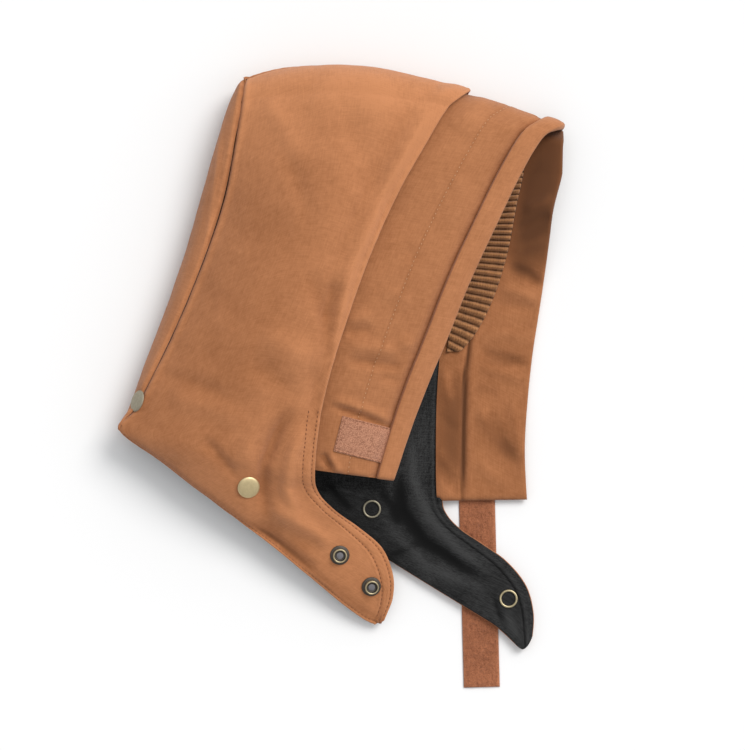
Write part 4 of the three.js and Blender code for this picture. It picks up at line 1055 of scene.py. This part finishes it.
u = tape_steps(STRAP_LENGTH, [0, 0.3, 0.8], np.arange(1.4, STRAP_LENGTH - 1.2, 0.7))
v = tape_steps(TAPE_WIDTH, [0, 0.2, 0.6], np.linspace(1.2, TAPE_WIDTH - 1.2, 36))
uu, vv = np.meshgrid(u, v, indexing="ij")
top = spot(*STRAP_TOP, 0.0)
down_strap = np.array([math.cos(STRAP_TURN), math.sin(STRAP_TURN)])
across_strap = np.array([-math.sin(STRAP_TURN), math.cos(STRAP_TURN)])
flat = top[:2] + uu[..., None] * down_strap + (vv[..., None] - TAPE_WIDTH / 2) * across_strap
strap = np.concatenate([flat, np.full((*uu.shape, 1), STRAP_HEIGHT)], -1)
selvage = np.clip(np.minimum(vv, TAPE_WIDTH - vv) / 2.2, 0, 1)
fuzz = 0.3 * waviness(strap, 2.2, 31) + 0.28 * waviness(strap, 0.9, 32) + 0.2 * waviness(strap, 7, 33)
fuzz *= selvage
strap_normals = facing(strap)
strap_normals *= np.sign(strap_normals[0, 0, 2])
strap_tape = put(cloth("chin_strap", strap, strap_normals, 1.7, fuzz - 0.5 * (1 - selvage), 0.0,
                       rounded=("left", "right", "last", "first"), wear_and_shade=fuzz + 0.15 + 1.5 * (1 - selvage)),
                 pile, "tape", "chin_strap")


def seat_on(points, normals, lift, x, y):
    """Point and normal of a cloth under a place on the table."""
    shown = points + normals * np.broadcast_to(lift, points.shape[:2])[..., None]
    gap = np.hypot(shown[..., 0] - x, shown[..., 1] - y)
    order = np.argsort(gap, axis=None)[:6]
    weight = 1 / (gap.ravel()[order] + 0.05)
    weight /= weight.sum()
    n = weight @ normals.reshape(-1, 3)[order]
    return weight @ shown.reshape(-1, 3)[order], n / np.linalg.norm(n)


PATCH_LENGTH = 36
PATCH_TURN = math.radians(-14.6)
PATCH_CENTRE = (0.545, 0.356)
u = tape_steps(PATCH_LENGTH, [0, 0.25, 0.7], np.linspace(1.4, PATCH_LENGTH - 1.4, 46))
v = tape_steps(TAPE_WIDTH, [0, 0.25, 0.7], np.linspace(1.4, TAPE_WIDTH - 1.4, 34))
centre_spot = spot(*PATCH_CENTRE, 0.0)
turned_way = np.array([math.cos(PATCH_TURN), math.sin(PATCH_TURN)])
patch_points, patch_normals = [], []
for b in v:
    row_points, row_normals = [], []
    for a in u:
        du, dv = a - PATCH_LENGTH / 2, TAPE_WIDTH / 2 - b
        x = centre_spot[0] + du * turned_way[0] - dv * turned_way[1]
        y = centre_spot[1] + du * turned_way[1] + dv * turned_way[0]
        p, n = seat_on(band, band_normals, outer_band, x, y)
        row_points.append([x, y, p[2]])
        row_normals.append(n)
    patch_points.append(row_points)
    patch_normals.append(row_normals)
patch, patch_normals = np.array(patch_points), np.array(patch_normals)
z = patch[..., 2]
for _ in range(8):
    z[1:-1, 1:-1] = (z[:-2, 1:-1] + z[2:, 1:-1] + z[1:-1, :-2] + z[1:-1, 2:]) / 4
border = np.min(list(edge_distances(patch).values()), axis=0)
bristle = (0.16 * waviness(patch, 0.9, 41) + 0.1 * waviness(patch, 3, 42)) * np.clip(border / 2.5, 0, 1)
bristle -= 0.35 * hump(border, 2.0, 0.6)
patch_tape = put(cloth("fastening_patch", patch + patch_normals * 1.1, patch_normals, 1.0, bristle, 0.0,
                       rounded=("left", "right", "first", "last")), hooks, "tape", "fastening_patch")
rim_line, rim_up = [], []
for corner, following in (((2, 2), (2, -3)), ((2, -3), (-3, -3)), ((-3, -3), (-3, 2)), ((-3, 2), (2, 2))):
    r = np.linspace(corner[0] % len(v), following[0] % len(v), 40).round().astype(int)
    c = np.linspace(corner[1] % len(u), following[1] % len(u), 40).round().astype(int)
    rim_line.extend((patch + patch_normals * 1.0)[r, c])
    rim_up.extend(patch_normals[r, c])
patch_sewing = stitches("patch_stitch", np.array(rim_line), np.array(rim_up), thread_brown, "tape",
                        pitch=2.6, length=1.9, radius=0.22, sink=-0.1)

# Snap fasteners: pressed brass. A capped socket has a domed cap outside and a ring socket inside, and a stud
# has a raised post with a rolled rim. Each is riveted through the duck and the lining.


def brass(name, colour, roughness, spots):
    """Brass with spots of tarnish, which are duller and darker."""
    material = bpy.data.materials.new(name)
    material.use_nodes = True
    tree = material.node_tree
    shader = tree.nodes["Principled BSDF"]
    shader.inputs["Metallic"].default_value = 1.0
    at = add_node(tree, "ShaderNodeTexCoord").outputs["Object"]
    tarnish = noise_value(tree, at, 420.0, 4.0, 0.65)
    blend = add_node(tree, "ShaderNodeMix", data_type="RGBA", clamp_factor=True)
    spotted = math_node(tree, "MULTIPLY", math_node(tree, "SUBTRACT", tarnish, 0.35), spots)
    tree.links.new(spotted, blend.inputs["Factor"])
    blend.inputs[6].default_value = (*colour, 1)
    blend.inputs[7].default_value = (*(0.55 * c for c in colour), 1)
    tree.links.new(blend.outputs[2], shader.inputs["Base Color"])
    tree.links.new(math_node(tree, "MULTIPLY_ADD", tarnish, 0.3, roughness), shader.inputs["Roughness"])
    bump = add_node(tree, "ShaderNodeBump")
    bump.inputs["Strength"].default_value = 0.15
    bump.inputs["Distance"].default_value = 0.0001
    tree.links.new(noise_value(tree, at, 1500.0, 3.0), bump.inputs["Height"])
    tree.links.new(bump.outputs[0], shader.inputs["Normal"])
    return material


pale_brass = brass("pale brass", (0.66, 0.53, 0.30), 0.34, 0.7)
antique_brass = brass("antique brass", (0.50, 0.42, 0.26), 0.30, 1.6)
# A darker copy of the antique brass, for the ring of one snap.
darker_brass = brass("darker brass", (0.30, 0.27, 0.20), 0.34, 1.6)
dark_brass = brass("blackened brass", (0.095, 0.082, 0.07), 0.4, 1.0)
pewter = brass("pewter", (0.235, 0.225, 0.235), 0.45, 1.2)


def turned_ring(profile, sides=56):
    """Turn a profile of (radius, height) pairs up from a flat round blank."""
    bpy.ops.object.select_all(action="DESELECT")
    (radius, height), *rest = profile
    bpy.ops.mesh.primitive_circle_add(vertices=sides, radius=radius, fill_type="NGON", location=(0, 0, 0))
    blank = bpy.context.object
    bpy.ops.object.mode_set(mode="EDIT")
    bpy.ops.mesh.select_all(action="SELECT")
    bpy.ops.transform.translate(value=(0, 0, height))
    for next_radius, next_height in rest:
        bpy.ops.mesh.extrude_region_move(TRANSFORM_OT_translate={"value": (0, 0, next_height - height)})
        factor = next_radius / radius
        bpy.ops.transform.resize(value=(factor, factor, 1), center_override=(0, 0, next_height))
        radius, height = next_radius, next_height
    bpy.ops.mesh.select_all(action="SELECT")
    bpy.ops.mesh.normals_make_consistent(inside=False)
    bpy.ops.object.mode_set(mode="OBJECT")
    return blank


# Profiles from the rim to the middle: radius and height
CAP = [(7.1, 0.1), (7.6, 0.35), (7.75, 0.8), (7.4, 1.3), (6.6, 1.6), (5.2, 1.85), (3.2, 1.98), (0.4, 2.03)]
SOCKET = [(6.3, 0.0), (6.5, 0.7), (6.5, 1.6), (6.25, 2.05), (5.75, 2.2), (5.25, 2.1), (4.95, 1.8),
          (4.75, 1.2), (4.7, 0.6), (3.6, 0.45), (3.3, 0.8), (2.7, 0.85), (2.4, 0.5), (0.3, 0.45)]
STUD = [(6.6, 0.05), (6.85, 0.4), (6.75, 0.8), (6.3, 1.05), (5.5, 1.15), (4.75, 1.3), (4.6, 2.0),
        (4.8, 2.9), (4.95, 3.4), (4.75, 3.85), (4.35, 4.0), (3.95, 3.85), (3.6, 3.2), (3.5, 2.2),
        (2.6, 2.0), (2.35, 2.4), (1.2, 2.5), (0.3, 2.52)]
BACKING = [(5.2, 0.0), (5.25, 0.5), (4.9, 1.0), (3.5, 1.2), (0.3, 1.25)]
CLOTH_STACK = SHELL + GAP + LINING
# Past the widest part, so that the last metal covers the rest
RIM = 9.0


def snap(name, seat, parts):
    """Rivet a snap's turned parts in place, out from the duck (1) or in from the lining (-1).
    Each part has its metals from the middle outwards, each with the radius that it reaches to."""
    point, normal = seat
    pieces = []
    for profile, way, metals in parts:
        blank = turned_ring(profile)
        for _, metal in metals:
            blank.data.materials.append(metal)
        for face in blank.data.polygons:
            away = math.hypot(face.center.x, face.center.y)
            face.material_index = sum(away > end for end, _ in metals[:-1])
        base = point + normal * (0.0 if way > 0 else -CLOTH_STACK)
        turn = Vector((0, 0, 1)).rotation_difference(Vector(normal * way)).to_matrix().to_4x4()
        blank.data.transform(Matrix.Translation(base * MM) @ turn @ Matrix.Scale(MM, 4))
        pieces.append(blank)
    bpy.ops.object.select_all(action="DESELECT")
    for piece in pieces:
        piece.select_set(True)
    bpy.context.view_layer.objects.active = pieces[0]
    bpy.ops.object.join()
    made = bpy.context.object
    made.name = made.data.name = name
    bpy.ops.object.shade_smooth_by_angle(angle=math.radians(50))
    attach(made, "root")
    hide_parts(name)


def capped(name, seat, cap_metal=pale_brass, ring_metal=antique_brass):
    """A snap with a cap on the duck and a ring socket on the lining."""
    ring = [(2.5, pewter), (4.85, dark_brass), (RIM, ring_metal)]
    snap(name, seat, [(CAP, 1, [(RIM, cap_metal)]), (SOCKET, -1, ring)])


def place_on(grid, normals, lift, shares):
    """Point and normal of a cloth at these shares of the hood's width and height."""
    x, y = spot(*shares, 0.0)[:2]
    return seat_on(grid, normals, lift, x, y)


capped("neck_snap_right", place_on(upper, upper_normals, upper_lift, (0.291, 0.275)))
greyed_brass = brass("greyed brass", (0.42, 0.38, 0.29), 0.5, 1.2)
capped("neck_snap_back_right", (back_seat, BACK_SNAP_WAY), greyed_brass)
SNAPS_BELOW = (("neck_snap_back_left", (0.296, 0.361)), ("neck_snap_left", (0.565, 0.235)),
               ("throat_socket", (0.873, 0.080)))
for name, shares in SNAPS_BELOW:
    x, y = spot(*shares, 0.0)[:2]
    ring_metal = darker_brass if name == "neck_snap_left" else antique_brass
    capped(name, (np.array([x, y, CAP_CLEARANCE + 0.02]), np.array([0, 0, -1.0])), ring_metal=ring_metal)
for name, shares in (("throat_stud_inner", (0.493, 0.158)), ("throat_stud_outer", (0.563, 0.103))):
    seat = place_on(upper, upper_normals, upper_lift, shares)
    post = [(2.45, pewter), (3.8, dark_brass), (4.85, antique_brass), (RIM, dark_brass)]
    snap(name, seat, [(STUD, 1, post), (BACKING, -1, [(RIM, antique_brass)])])

# Table, light and camera: a white table top, a key light from the upper right with a wider soft one, and a
# camera straight above the hood, far enough away to show it almost without perspective.

bpy.ops.object.select_all(action="DESELECT")
bpy.ops.mesh.primitive_plane_add(size=6, location=(0, 0, 0))
table_top = bpy.context.object
table_top.name = "table_top"
white = bpy.data.materials.new("white table")
white.use_nodes = True
white.node_tree.nodes["Principled BSDF"].inputs["Base Color"].default_value = (0.81, 0.81, 0.81, 1)
white.node_tree.nodes["Principled BSDF"].inputs["Roughness"].default_value = 0.9
table_top.data.materials.append(white)


def sun(name, direction, spread_degrees, strength, colour):
    """A soft light from far away, in the direction from which it comes."""
    data = bpy.data.lights.new(name, "SUN")
    data.angle = math.radians(spread_degrees)
    data.energy = strength
    data.color = colour
    lamp = bpy.data.objects.new(name, data)
    bpy.context.collection.objects.link(lamp)
    lamp.rotation_euler = Vector(direction).to_track_quat("Z", "Y").to_euler()


sun("key", (0.68, 0.73, 1.0), 30, 1.95, (1.0, 0.985, 0.965))
sun("soft box", (0.5, 0.6, 1.0), 100, 1.0, (1.0, 0.995, 0.99))

world = bpy.data.worlds.new("studio")
bpy.context.scene.world = world
world.use_nodes = True
world.node_tree.nodes["Background"].inputs["Color"].default_value = (0.965, 0.98, 1.0, 1)
world.node_tree.nodes["Background"].inputs["Strength"].default_value = 0.58
bpy.context.scene.view_settings.view_transform = "Standard"

# Lens and sensor in millimetres, and picture in pixels
LENS, SENSOR = 150, 36
PICTURE_WIDTH, PICTURE_HEIGHT = 745, 750
MM_PER_PIXEL = 0.6993
# The point of the picture, in pixels from its left and its top, that shows the middle of the part's frame
FRAME_MIDDLE = (340.9, 377.8)
# The scale holds at this height above the table, in metres.
SCALE_HEIGHT = 0.02
distance = MM_PER_PIXEL * MM * PICTURE_HEIGHT * LENS / SENSOR
camera_data = bpy.data.cameras.new("above")
camera_data.lens = LENS
camera_data.sensor_width = SENSOR
camera = bpy.data.objects.new("above", camera_data)
bpy.context.collection.objects.link(camera)
off_x, off_y = PICTURE_WIDTH / 2 - FRAME_MIDDLE[0], FRAME_MIDDLE[1] - PICTURE_HEIGHT / 2
camera.location = (off_x * MM_PER_PIXEL * MM, off_y * MM_PER_PIXEL * MM, distance + SCALE_HEIGHT)
bpy.context.scene.camera = camera
